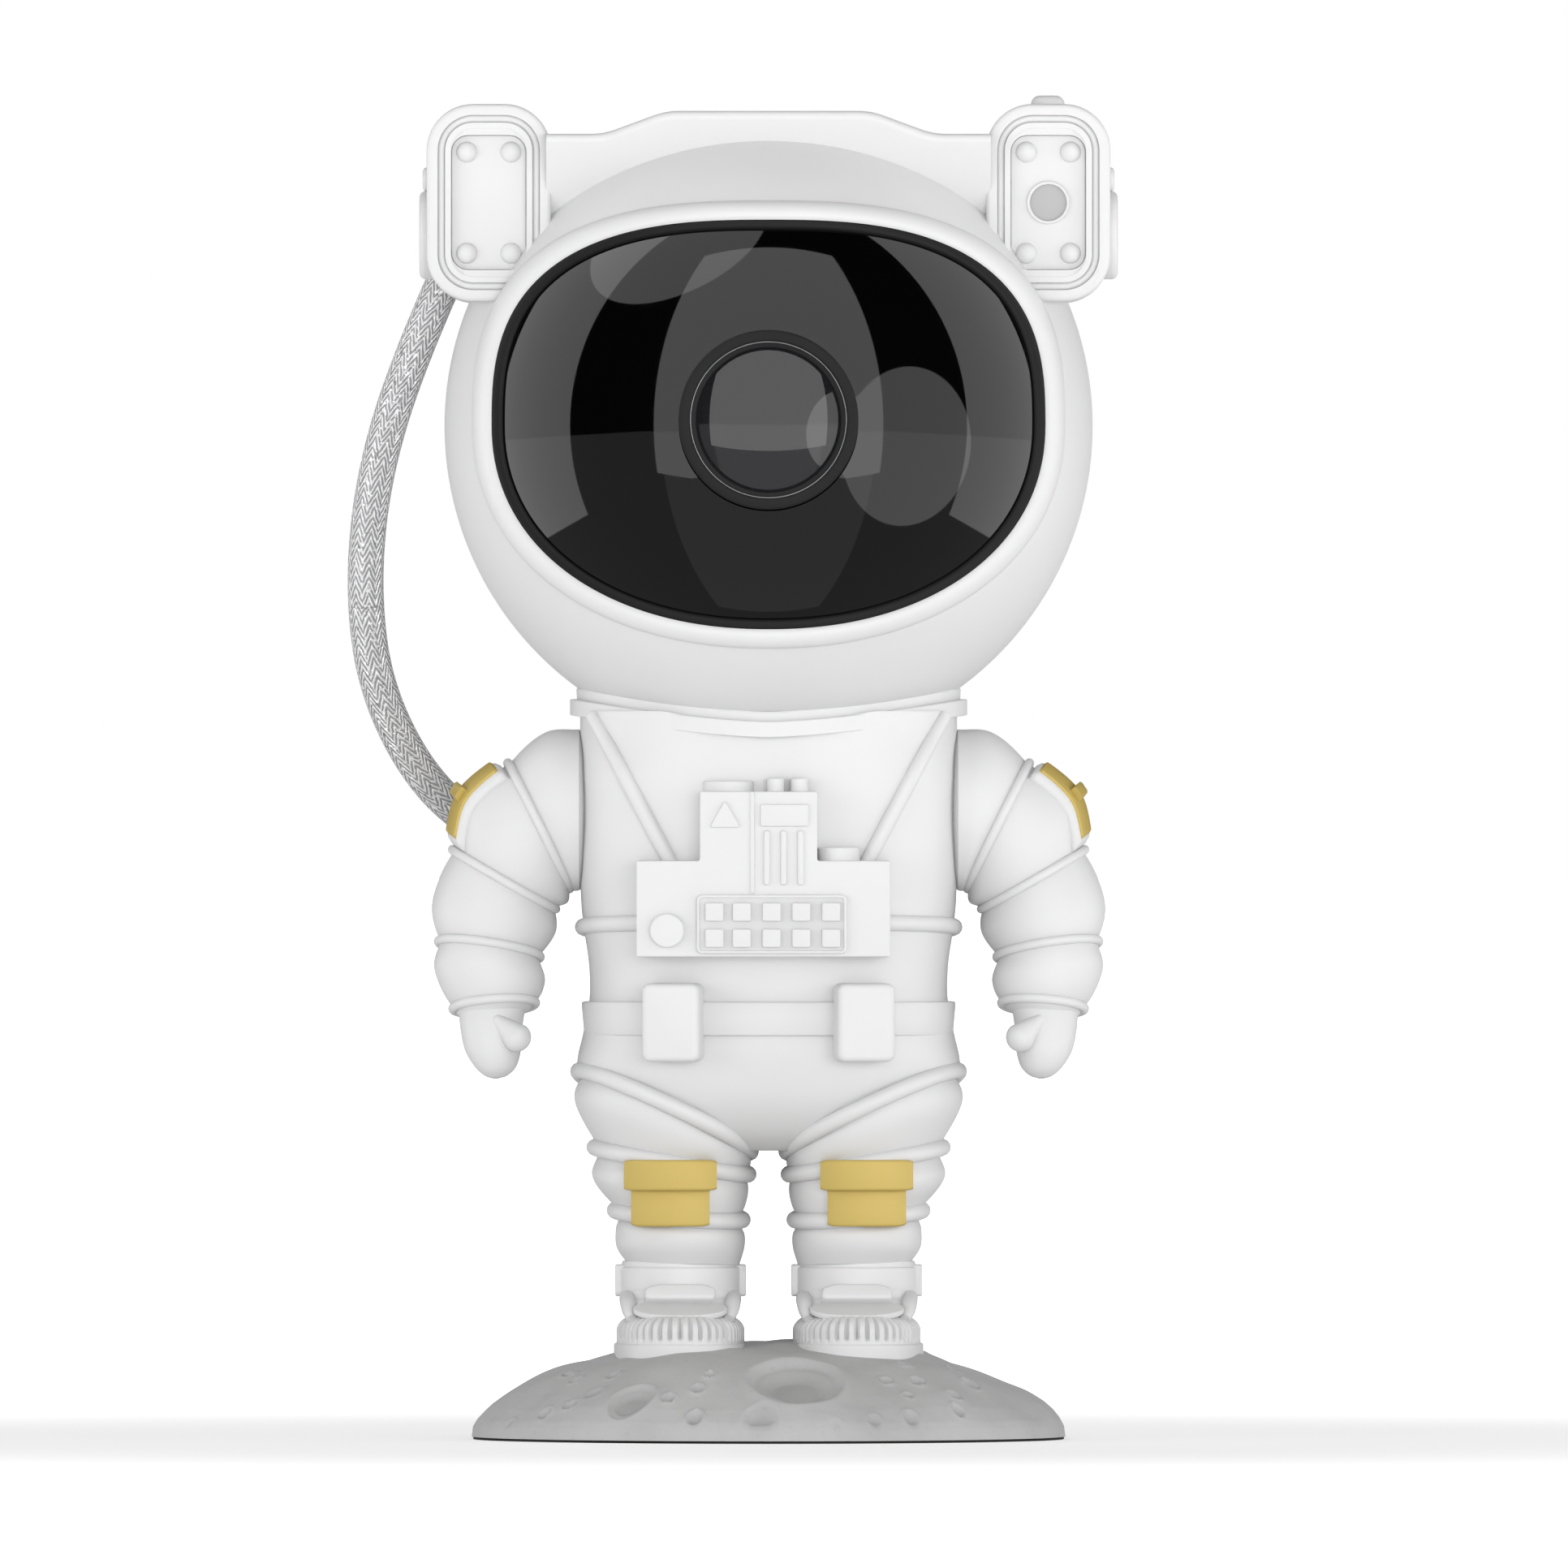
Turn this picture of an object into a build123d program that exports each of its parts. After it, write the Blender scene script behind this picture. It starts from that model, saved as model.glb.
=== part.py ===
"""Planetarium projector: a standing figure whose round head holds the projector.

Millimetres, +Z up, the figure faces -Y. The origin is the centre of the base, on the ground.
"left" and "right" are the viewer's, so left is -X. The head sits in a cup on the neck, where it
turns and nods about its own centre.
"""
from build123d import *
from math import cos, pi, radians, sin, sqrt
import os

# ---------------------------------------------------------------- driving dimensions
# Head
head_radius = 55.9
head_wall = 2.4
neck_seat_z = 118.8
crown_cut = 51.0
visor_half_width = 47.4
visor_rise = 34.9
visor_drop = 35.1
visor_power_top = 2.75
visor_power_bottom = 2.15
rim_width = 2.9
rim_height = 1.5
gasket_width = 2.2
glass_wall = 1.6
glass_inset = 1.3
# Headband and ear pods
band_height = 53.9
band_shoulder = 50.0
band_flat_half = 17.5
band_slope_half = 28.0
band_lean = 29.3
band_back_lean = 25.0
band_wall = 2.4
pod_inner_x = 37.4
pod_width = 21.4
pod_height = 33.9
pod_low = 21.3
pod_front = 22.7
pod_back = 9.0
pod_corner = 8.0
pod_wall = 2.0
pod_plate_width = 12.9
pod_plate_height = 23.2
pod_plate_corner = 2.8
pod_recess = 1.2
plate_thickness = 0.4
rivet_radius = 1.8
rivet_spacing_x = 7.6
rivet_spacing_z = 17.4
pod_cap_radius = 9.8
pod_cap_height = 1.4
pod_button_radius = 2.9
pod_button_height = 1.7
sensor_radius = 3.1
# Optics, all on the lens axis
lens_lift = 0.6
barrel_radius = 15.4
barrel_wall = 2.1
barrel_front = 46.0
lens_thickness = 6.0
lens_ball_radius = 24.0
flange_front = 16.0
flange_thickness = 2.5
flange_gap = 1.4
window_radius = 5.5
gear_module = 0.6
disc_teeth = 48
pinion_teeth = 12
tooth_backlash = 0.24
disc_thickness = 2.0
disc_drop = 8.5
axle_radius = 1.5
motor_radius = 5.0
motor_length = 12.0
shaft_radius = 0.8
laser_radius = 4.0
laser_length = 18.0
laser_rise = 24.0
led_size = 20.0
led_front = 6.0
boss_radius = 3.4
boss_circle = 48.2
screw_radius = 1.5
# Control panel at the back of the head
panel_width = 44.0
panel_height = 16.0
panel_drop = 12.0
panel_face = 50.0
panel_thickness = 2.5
key_radius = 3.2
key_pitch = 12.0
key_travel = 0.8
board_radius = 33.0
board_back = 39.6
board_thickness = 1.6
board_post_circle = 28.0
board_post_radius = 2.2
usb_width = 9.0
usb_height = 3.2
usb_drop = 25.5
# Torso
torso_half_width = 32.5
torso_half_depth = 26.0
chest_z = 92.8
waist_z = 78.5
waist_half_width = 30.7
waist_half_depth = 23.5
hip_z = 65.4
hip_half_width = 33.0
hip_half_depth = 23.5
crotch_z = 50.0
torso_wall = 2.2
collar_height = 4.2
collar_out = 1.5
belt_low = 69.6
belt_height = 6.0
belt_out = 1.0
pouch_width = 10.0
pouch_height = 13.4
pouch_depth = 7.0
pouch_x = 16.9
# Chest panel
panel_low = 83.3
chest_block_half = 21.8
chest_block_height = 16.5
chest_top_half = 10.1
chest_top_height = 12.0
chest_depth = 9.0
keypad_width = 25.8
keypad_height = 10.1
keypad_lift = 0.9
keypad_low = 83.9
key_square = 3.15
key_square_pitch = 5.0
# Backpack
pack_half_width = 22.0
pack_low = 76.0
pack_height = 43.0
pack_depth = 16.0
pack_wall = 2.0
pack_corner = 6.0
# Neck
swivel_radius = 15.0
swivel_low = 110.5
post_thickness = 2.4
pivot_radius = 4.0
pivot_height = 3.7
magnet_radius = 9.0
magnet_thickness = 3.0
# Arms
shoulder_z = 108.5
shoulder_radius = 14.0
arm_wall = 2.0
arm_pin_radius = 3.0
arm_pin_depth = 4.5
patch_length = 13.0
patch_width = 15.0
patch_thickness = 1.3
knee_patch_thickness = 1.9
piping_radius = 0.8
hand_length = 12.5
# Legs, boots and base
leg_inner_x = 3.1
leg_wall = 2.2
leg_piping_radius = 1.4
ankle_z = 31.2
cuff_low = 25.2
cuff_half_width = 10.6
boot_half_width = 11.2
boot_centre_x = 15.2
boot_toe = 22.0
boot_heel = 13.0
boot_low = 13.0
sole_height = 3.5
toe_height = 5.1
base_radius = 51.3
base_top = 16.3
base_floor_z = 0.8
base_wall = 2.4
dome_wall = 3.4
ballast_radius = 24.0
pad_radius = 46.0
screw_head = 1.2
# Hose
hose_radius = 3.1
ferrule_wall = 1.4
ferrule_length = 5.0
# Fits
running_gap = 0.06
loose_gap = 0.3
seat_gap = 0.5

# ---------------------------------------------------------------- derived places
head_z = neck_seat_z + head_radius
head_inner = head_radius - head_wall
lens_z = head_z + lens_lift
flange_back = flange_front - flange_thickness
disc_z = lens_z - disc_drop
disc_pitch = gear_module * disc_teeth / 2
pinion_pitch = gear_module * pinion_teeth / 2
pinion_z = disc_z - disc_pitch - pinion_pitch
disc_front = flange_back - flange_gap
pod_centre_x = pod_inner_x + pod_width / 2
pod_centre_z = head_z + pod_low + pod_height / 2
pod_top_z = head_z + pod_low + pod_height
shoulder_x = torso_half_width + loose_gap
pin_head_x = torso_half_width - torso_wall - 1.7
pin_head_radius = arm_pin_radius + 2
seat_radius = head_radius + seat_gap
ferrule_radius = hose_radius + ferrule_wall
left_side, right_side = -1, 1


def head_ball(radius):
    """Solid ball about the head's centre."""
    with BuildPart(Plane.XY.offset(head_z)) as ball:
        Sphere(radius)
    return ball.part


def front_plane(depth, height=0.0):
    """Upright plane facing the viewer at y = -depth; its x is +X and its y is up."""
    return Plane(origin=(0, -depth, height), x_dir=(1, 0, 0), z_dir=(0, -1, 0))


def back_plane(depth, height=0.0):
    """The same upright plane behind the figure, at y = +depth, still facing the viewer."""
    return front_plane(-depth, height)


def save(piece, name):
    """Label a finished piece and write it as its own file."""
    piece.label = name
    export_step(piece, "parts/" + name + ".step")


def limb_plane(outer, inner, shift=0.0):
    """Plane square across a limb, through its outer and inner side points (x, z)."""
    across = Vector(inner[0] - outer[0], 0, inner[1] - outer[1])
    middle = Vector((outer[0] + inner[0]) / 2, shift, (outer[1] + inner[1]) / 2)
    return Plane(origin=middle, x_dir=across, z_dir=across.cross(Vector(0, 1, 0)))


def limb_half(outer, inner):
    """Half the distance between a limb's side points."""
    return sqrt((inner[0] - outer[0]) ** 2 + (inner[1] - outer[1]) ** 2) / 2


def limb_loft(stations, grow=0.0):
    """Loft a limb through its stations: (outer, inner, half depth, forward shift)."""
    with BuildPart() as limb:
        for outer, inner, half_depth, shift in stations:
            with BuildSketch(limb_plane(outer, inner, shift)):
                Ellipse(limb_half(outer, inner) + grow, half_depth + grow)
        loft()
    return limb.part


def limb_bead(station, bead_radius):
    """Half-round piping: a thin oval slice with rounded rims round one station."""
    outer, inner, half_depth, shift = station
    with BuildPart() as bead:
        with BuildSketch(limb_plane(outer, inner, shift).offset(-bead_radius)):
            Ellipse(limb_half(outer, inner) + bead_radius, half_depth + bead_radius)
        extrude(amount=2 * bead_radius)
        fillet(bead.edges(), bead_radius * 0.9)
    return bead.part


def oval_tower(sections):
    """Loft upright ovals: (height, half width, half depth)."""
    with BuildPart() as tower:
        for height, half_width, half_depth in sections:
            with BuildSketch(Plane.XY.offset(height)):
                Ellipse(half_width, half_depth)
        loft()
    return tower.part


def oval_column(low, high, half_width, half_depth):
    """Straight oval column."""
    with BuildPart() as column:
        with BuildSketch(Plane.XY.offset(low)):
            Ellipse(half_width, half_depth)
        extrude(amount=high - low)
    return column.part


# ---------------------------------------------------------------- moon base
def dome_height(reach):
    """Height of the moon's surface at a distance from the middle."""
    return base_top * sqrt(max(0.0, 1 - (reach / base_radius) ** 2)) ** 1.15


def crater_tool(x, y, radius):
    """Shallow bowl that cuts a crater of a given radius into the moon at (x, y)."""
    height = dome_height(sqrt(x * x + y * y))
    with BuildPart(Plane(origin=(x, y, height + radius * 1.1))) as bowl:
        Sphere(radius * 1.35)
    return bowl.part


def boot_footprint(side, grow, low, high):
    """Boot-shaped block: straight sides with a round toe and a round heel."""
    length = boot_toe + boot_heel + 2 * grow
    with BuildPart() as block:
        with BuildSketch(Plane.XY.offset(low)):
            with Locations((side * boot_centre_x, (boot_heel - boot_toe) / 2)):
                RectangleRounded(2 * (boot_half_width + grow), length, boot_half_width * 0.86)
        extrude(amount=high - low)
    return block.part


base_edge_high = 2.2
plate_top = base_floor_z + base_wall
base_ceiling = boot_low - base_wall
screw_circle = base_radius * 0.8
dome_stations = [base_radius * share for share in (0.97, 0.88, 0.72, 0.52, 0.26)]
with BuildPart() as moon_base_shell:
    with BuildSketch(Plane.XZ):
        with BuildLine():
            Line((0, base_floor_z), (base_radius, base_floor_z))
            Line((base_radius, base_floor_z), (base_radius, base_edge_high))
            Spline(
                (base_radius, base_edge_high),
                *[(reach, dome_height(reach)) for reach in dome_stations],
                (0, base_top),
                tangents=((0, 1), (-1, 0)),
            )
            Line((0, base_top), (0, base_floor_z))
        make_face()
    revolve(axis=Axis.Z)
    with BuildSketch(Plane.XZ):
        with BuildLine():
            Polyline(
                (0, base_floor_z),
                (base_radius - base_wall, base_floor_z),
                (base_radius - base_wall, plate_top),
                (base_radius * 0.84, plate_top),
                (base_radius * 0.74, dome_height(base_radius * 0.74) - dome_wall),
                (base_radius * 0.60, dome_height(base_radius * 0.60) - dome_wall),
                (base_radius * 0.48, base_ceiling),
                (0, base_ceiling),
                close=True,
            )
        make_face()
    revolve(axis=Axis.Z, mode=Mode.SUBTRACT)
    for crater_x, crater_y, crater_radius in (
        (4.6, -33.0, 8.6), (-23.5, -37.0, 4.2), (-1.3, -45.0, 3.4), (-32.0, -18.0, 3.0),
        (24.5, -36.5, 2.4), (33.0, -20.0, 2.6), (-12.5, -44.5, 2.0), (14.0, 34.0, 7.0),
        (-20.0, 32.0, 4.5), (38.0, 8.0, 3.0), (-38.0, 10.0, 3.4),
    ):
        add(crater_tool(crater_x, crater_y, crater_radius), mode=Mode.SUBTRACT)
    with PolarLocations(screw_circle, 3, start_angle=90):
        with Locations((0, 0, base_floor_z)):
            Cylinder(screw_radius, base_wall * 2, align=(Align.CENTER, Align.CENTER, Align.MIN),
                     mode=Mode.SUBTRACT)
    for side in (left_side, right_side):
        add(boot_footprint(side, running_gap, boot_low, base_top + 1), mode=Mode.SUBTRACT)
        with Locations((side * boot_centre_x, 0, boot_low - base_wall)):
            Cylinder(screw_radius, base_wall, align=(Align.CENTER, Align.CENTER, Align.MIN),
                     mode=Mode.SUBTRACT)
save(moon_base_shell.part, "moon_base_shell")

head_recess = screw_radius * 1.8 + running_gap
base_screw_places = PolarLocations(screw_circle, 3, start_angle=90)
with BuildPart() as base_plate:
    with BuildSketch(Plane.XY.offset(base_floor_z)):
        Circle(base_radius - base_wall - running_gap)
    extrude(amount=base_wall)
    with BuildSketch(Plane.XY.offset(base_floor_z)):
        with base_screw_places:
            Circle(screw_radius)
        with Locations(*[(side * boot_centre_x, 0) for side in (left_side, right_side)]):
            Circle(head_recess)
    extrude(amount=base_wall, mode=Mode.SUBTRACT)
    with BuildSketch(Plane.XY.offset(base_floor_z)):
        with base_screw_places:
            Circle(head_recess)
    extrude(amount=screw_head, mode=Mode.SUBTRACT)
save(base_plate.part, "base_plate")

with BuildPart() as ballast_weight:
    with BuildSketch(Plane.XY.offset(plate_top)):
        Circle(ballast_radius)
    extrude(amount=base_ceiling - plate_top - loose_gap)
    for side in (left_side, right_side):
        with Locations((side * boot_centre_x, 0, plate_top)):
            Hole(screw_radius * 2)
save(ballast_weight.part, "ballast_weight")

with BuildPart() as base_screws:
    with BuildSketch(Plane.XY.offset(base_floor_z)):
        with base_screw_places:
            Circle(screw_radius * 1.8)
    extrude(amount=screw_head)
    with BuildSketch(Plane.XY.offset(base_floor_z + screw_head)):
        with base_screw_places:
            Circle(screw_radius)
    extrude(amount=base_wall * 2 - screw_head)
    for side in (left_side, right_side):
        with Locations((side * boot_centre_x, 0, base_ceiling - screw_head)):
            Cylinder(screw_radius * 1.8, screw_head, align=(Align.CENTER, Align.CENTER, Align.MIN))
        with Locations((side * boot_centre_x, 0, base_ceiling)):
            Cylinder(screw_radius, base_wall * 2, align=(Align.CENTER, Align.CENTER, Align.MIN))
save(base_screws.part, "base_screws")

with BuildPart() as rubber_pad:
    with BuildSketch(Plane.XY):
        Circle(pad_radius)
    extrude(amount=base_floor_z)
save(rubber_pad.part, "rubber_pad")


# ---------------------------------------------------------------- boots and legs
def make_boot(side):
    """Boot on its sole, with the rounded upper and the straight ankle cuff in one piece."""
    sole_top = boot_low + sole_height
    toe_top = sole_top + toe_height
    with BuildPart() as upper:
        with BuildSketch(Plane.XY.offset(toe_top - 2)):
            with Locations((side * boot_centre_x, (boot_heel - boot_toe) / 2 + 1)):
                RectangleRounded(2 * boot_half_width - 1.6, boot_toe + boot_heel - 4,
                                 boot_half_width * 0.8)
        with BuildSketch(Plane.XY.offset(cuff_low)):
            with Locations((side * boot_centre_x, 1.0)):
                RectangleRounded(2 * cuff_half_width - 1.5, 2 * cuff_half_width + 1,
                                 cuff_half_width * 0.8)
        loft()
    with BuildPart() as boot:
        add(boot_footprint(side, 0, boot_low, sole_top))
        add(boot_footprint(side, -0.5, sole_top, toe_top))
        fillet(boot.faces().sort_by(Axis.Z)[-1].edges(), 2.4)
        add(upper.part)
        with BuildSketch(Plane.XY.offset(cuff_low)):
            with Locations((side * boot_centre_x, 1.0)):
                Ellipse(cuff_half_width, cuff_half_width + 1.2)
        extrude(amount=ankle_z - cuff_low - running_gap)
        with Locations((side * boot_centre_x, 0, boot_low)):
            Cylinder(screw_radius, 2 * base_wall, mode=Mode.SUBTRACT)
    return boot.part


def leg_point(reach, height):
    """Side point of the left leg: reach outward from its inner line, height above the ankle."""
    return -leg_inner_x - reach, ankle_z + height


hip_station = ((0.2 - hip_half_width, hip_z - 1.8), (-leg_inner_x, crotch_z - 0.3), 20.5, 0.0)
thigh_ring = (leg_point(27.6, 19.3), leg_point(0.0, 14.4), 16.8, 0.0)
knee_ring = (leg_point(23.8, 8.4), leg_point(1.1, 6.7), 14.4, 0.6)
leg_stations = [
    hip_station,
    (leg_point(30.8, 26.4), leg_point(-0.1, 16.8), 19.2, 0.0),
    thigh_ring,
    (leg_point(27.5, 14.2), leg_point(-0.2, 11.2), 17.0, 0.2),
    knee_ring,
    (leg_point(23.5, 4.8), leg_point(0.9, 3.7), 14.4, 0.8),
    (leg_point(21.8, 0.0), leg_point(1.1, 0.0), 11.6, 1.0),
]


def make_leg():
    """Hollow left leg with piping at the thigh and the knee."""
    with BuildPart() as leg:
        add(limb_loft(leg_stations))
        for station in (thigh_ring, knee_ring):
            add(limb_bead(station, leg_piping_radius))
        add(limb_loft([leg_stations[1], thigh_ring, knee_ring, leg_stations[5]], -leg_wall),
            mode=Mode.SUBTRACT)
    return leg.part


def make_knee_patch(leg):
    """Two gold pads above one another, wrapped over the front of the left leg."""
    centre_x = -leg_inner_x - 14.0
    with BuildPart() as patch:
        for low, height, half_width in ((12.9, 5.4, 8.1), (5.9, 6.0, 6.8)):
            with BuildSketch(front_plane(4, ankle_z + low)):
                with Locations((centre_x, height / 2)):
                    RectangleRounded(2 * half_width, height, 0.8)
            extrude(amount=40)
        add(limb_loft(leg_stations, knee_patch_thickness), mode=Mode.INTERSECT)
        add(limb_loft(leg_stations), mode=Mode.SUBTRACT)
        add(leg, mode=Mode.SUBTRACT)
    return patch.part


def mirrored(piece):
    """The same piece on the other side of the figure."""
    return mirror(piece, about=Plane.YZ)


def save_pair(piece, name):
    """Write a left piece and its right-hand twin."""
    save(piece, "left_" + name)
    save(mirrored(piece), "right_" + name)


left_leg = make_leg()
save_pair(make_boot(left_side), "boot")
save_pair(left_leg, "leg")
save_pair(make_knee_patch(left_leg), "knee_patch")


# ---------------------------------------------------------------- torso
torso_sections = [
    (crotch_z, hip_half_width - 2.5, hip_half_depth - 1.5),
    (hip_z, hip_half_width, hip_half_depth),
    (waist_z, waist_half_width, waist_half_depth),
    (chest_z, torso_half_width, torso_half_depth - 1),
    (shoulder_z, torso_half_width, torso_half_depth),
    (neck_seat_z + 14, torso_half_width, torso_half_depth),
]
neck_sphere = seat_radius + collar_height


def shrink(sections, wall):
    """Sections drawn in by a wall, and lifted by it at the bottom."""
    low, half_width, half_depth = sections[0]
    inner = [(low + wall, half_width - wall, half_depth - wall)]
    return inner + [(z, wide - wall, deep - wall) for z, wide, deep in sections[1:]]


def hip_planes(drop):
    """The two planes of the hip piping, moved down by a drop."""
    planes = []
    outer, inner = hip_station[:2]
    for side in (left_side, right_side):
        points = [(-side * x, z - drop) for x, z in (outer, inner)]
        planes.append(limb_plane(*points[::-side]))
    return planes


torso_boss_places = [(18.0, chest_z + 5), (-18.0, chest_z + 5),
                     (14.0, belt_low + 2.6), (-14.0, belt_low + 2.6)]
torso_boss_radius = 3.2
torso_screw_depth = 12.0
torso_head_y = 14.0


def torso_bosses():
    """Screw columns that join the two torso shells, from the front wall to the back wall."""
    with BuildPart() as bosses:
        for boss_x, boss_z in torso_boss_places:
            with BuildSketch(front_plane(2 * torso_half_depth, boss_z)):
                with Locations((boss_x, 0)):
                    Circle(torso_boss_radius)
            extrude(amount=-4 * torso_half_depth)
        add(oval_tower(torso_sections), mode=Mode.INTERSECT)
    return bosses.part


def make_torso():
    """Torso shell: oval tower, slanted at both hips, hollow, cut to the head's ball on top."""
    with BuildPart() as cavity:
        add(oval_tower(shrink(torso_sections, torso_wall)))
        for plane in hip_planes(-torso_wall):
            split(bisect_by=plane, keep=Keep.TOP)
    with BuildPart() as torso:
        add(oval_tower(torso_sections))
        for plane in hip_planes(0.0):
            split(bisect_by=plane, keep=Keep.TOP)
        for side in (left_side, right_side):
            with BuildSketch(Plane.YZ.offset(side * torso_half_width)):
                with Locations((0, shoulder_z)):
                    Circle(shoulder_radius)
            extrude(amount=-side * shoulder_radius)
        add(cavity.part, mode=Mode.SUBTRACT)
        for side in (left_side, right_side):
            with BuildSketch(Plane.YZ.offset(side * torso_half_width)):
                with Locations((0, shoulder_z)):
                    Circle(shoulder_radius + 1)
            extrude(amount=side * shoulder_radius, mode=Mode.SUBTRACT)
        add(torso_bosses())
        for boss_x, boss_z in torso_boss_places:
            with BuildSketch(front_plane(torso_screw_depth, boss_z)):
                with Locations((boss_x, 0)):
                    Circle(screw_radius)
            extrude(amount=-4 * torso_half_depth, mode=Mode.SUBTRACT)
            with BuildSketch(back_plane(torso_head_y, boss_z)):
                with Locations((boss_x, 0)):
                    Circle(screw_radius * 1.7 + running_gap)
            extrude(amount=-2 * torso_half_depth, mode=Mode.SUBTRACT)
        add(head_ball(neck_sphere), mode=Mode.SUBTRACT)
        with BuildSketch(Plane.YZ.offset(-torso_half_width - 1)):
            with Locations((0, shoulder_z)):
                Circle(arm_pin_radius + running_gap)
        extrude(amount=2 * torso_half_width + 2, mode=Mode.SUBTRACT)
    return torso.part


torso_blank = make_torso()
for keep, name in ((Keep.TOP, "torso_front_shell"), (Keep.BOTTOM, "torso_back_shell")):
    with BuildPart() as half:
        add(torso_blank)
        split(bisect_by=Plane.XZ, keep=keep)
    save(half.part, name)

with BuildPart() as collar_ring:
    add(oval_column(neck_seat_z, neck_seat_z + 13, torso_half_width + collar_out,
                    torso_half_depth + collar_out))
    add(oval_column(neck_seat_z - 1, neck_seat_z + 14, torso_half_width - torso_wall,
                    torso_half_depth - torso_wall), mode=Mode.SUBTRACT)
    add(head_ball(neck_sphere), mode=Mode.INTERSECT)
    add(head_ball(seat_radius), mode=Mode.SUBTRACT)
save(collar_ring.part, "collar_ring")

post_low = swivel_low - loose_gap - post_thickness
with BuildPart() as neck_post:
    add(oval_column(post_low, post_low + post_thickness, torso_half_width - torso_wall,
                    torso_half_depth - torso_wall))
    with BuildSketch(Plane.XY.offset(post_low + post_thickness)):
        Circle(pivot_radius)
    extrude(amount=pivot_height)
    add(torso_blank, mode=Mode.SUBTRACT)
    for side in (left_side, right_side):
        with BuildSketch(Plane.YZ.offset(side * (pin_head_x - 2))):
            with Locations((0, shoulder_z)):
                Circle(pin_head_radius + 1)
        extrude(amount=side * torso_half_width, mode=Mode.SUBTRACT)
save(neck_post.part, "neck_post")


def belt_sections(grow):
    """Torso sections either side of the belt, so that the belt follows the waist."""
    return [(belt_low, hip_half_width - 1.2 + grow, waist_half_depth + grow),
            (belt_low + belt_height, waist_half_width + 0.6 + grow, waist_half_depth + grow)]


with BuildPart() as belt:
    add(oval_tower(belt_sections(belt_out)))
    for side in (left_side, right_side):
        with BuildSketch(front_plane(waist_half_depth * 0.6, hip_z - 0.2)):
            with Locations((side * pouch_x, pouch_height / 2)):
                RectangleRounded(pouch_width, pouch_height, 1.3)
        extrude(amount=waist_half_depth * 0.4 + pouch_depth - 3)
    add(oval_tower(torso_sections), mode=Mode.SUBTRACT)
save(belt.part, "belt")

# ---------------------------------------------------------------- chest panel
chest_face = torso_half_depth + chest_depth - 4
chest_top = panel_low + chest_block_height
with BuildPart() as chest_panel:
    with BuildSketch(front_plane(0, panel_low)):
        with Locations((0, chest_block_height / 2)):
            Rectangle(2 * chest_block_half, chest_block_height)
        with Locations((-1.7, chest_block_height + chest_top_height / 2)):
            Rectangle(2 * chest_top_half, chest_top_height)
    extrude(amount=chest_face)
    fillet(chest_panel.faces().sort_by(Axis.Y)[0].edges(), 0.8)
    for knob_x in (1.2, 5.3):
        with Locations((knob_x, 3 - chest_face, chest_top + chest_top_height)):
            Cylinder(1.5, 2.3, align=(Align.CENTER, Align.CENTER, Align.MIN))
    with Locations((12.0, 5 - chest_face, chest_top)):
        Cylinder(3.6, 2.2, align=(Align.CENTER, Align.CENTER, Align.MIN))
    with Locations((-6.9, 6 - chest_face, chest_top + chest_top_height)):
        Box(8.7, 6.0, 1.8, align=(Align.CENTER, Align.CENTER, Align.MIN))
    with BuildSketch(front_plane(chest_face, 0)):
        with Locations((-2.8, chest_top + 2.9)):
            Rectangle(0.8, 17.6)
    extrude(amount=-0.6, mode=Mode.SUBTRACT)
    with BuildSketch(front_plane(chest_face, 0)):
        with Locations((2.7, chest_top + 8.0)):
            Rectangle(8.3, 3.8)
        for bar_x in (-0.3, 2.6, 5.5):
            with Locations((bar_x, chest_top + 0.6)):
                SlotOverall(9.4, 1.2, rotation=90)
        with Locations((-17.4, panel_low + 4.5)):
            Circle(2.9)
        with BuildLine():
            Polyline((-10.0, chest_top + 5.9), (-5.0, chest_top + 5.9),
                     (-7.5, chest_top + 10.3), close=True)
        make_face()
    extrude(amount=0.7)
    add(oval_tower(torso_sections), mode=Mode.SUBTRACT)
save(chest_panel.part, "chest_panel")

with BuildPart() as chest_keypad:
    with BuildSketch(front_plane(chest_face, keypad_low)):
        with Locations((0.5, keypad_height / 2)):
            RectangleRounded(keypad_width, keypad_height, 0.9)
    extrude(amount=keypad_lift)
    with BuildSketch(front_plane(chest_face + keypad_lift, keypad_low)):
        with Locations((0.6, keypad_height / 2)):
            with GridLocations(key_square_pitch, key_square_pitch * 0.9, 5, 2):
                RectangleRounded(key_square, key_square, 0.4)
    extrude(amount=0.7)
save(chest_keypad.part, "chest_keypad")

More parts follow.
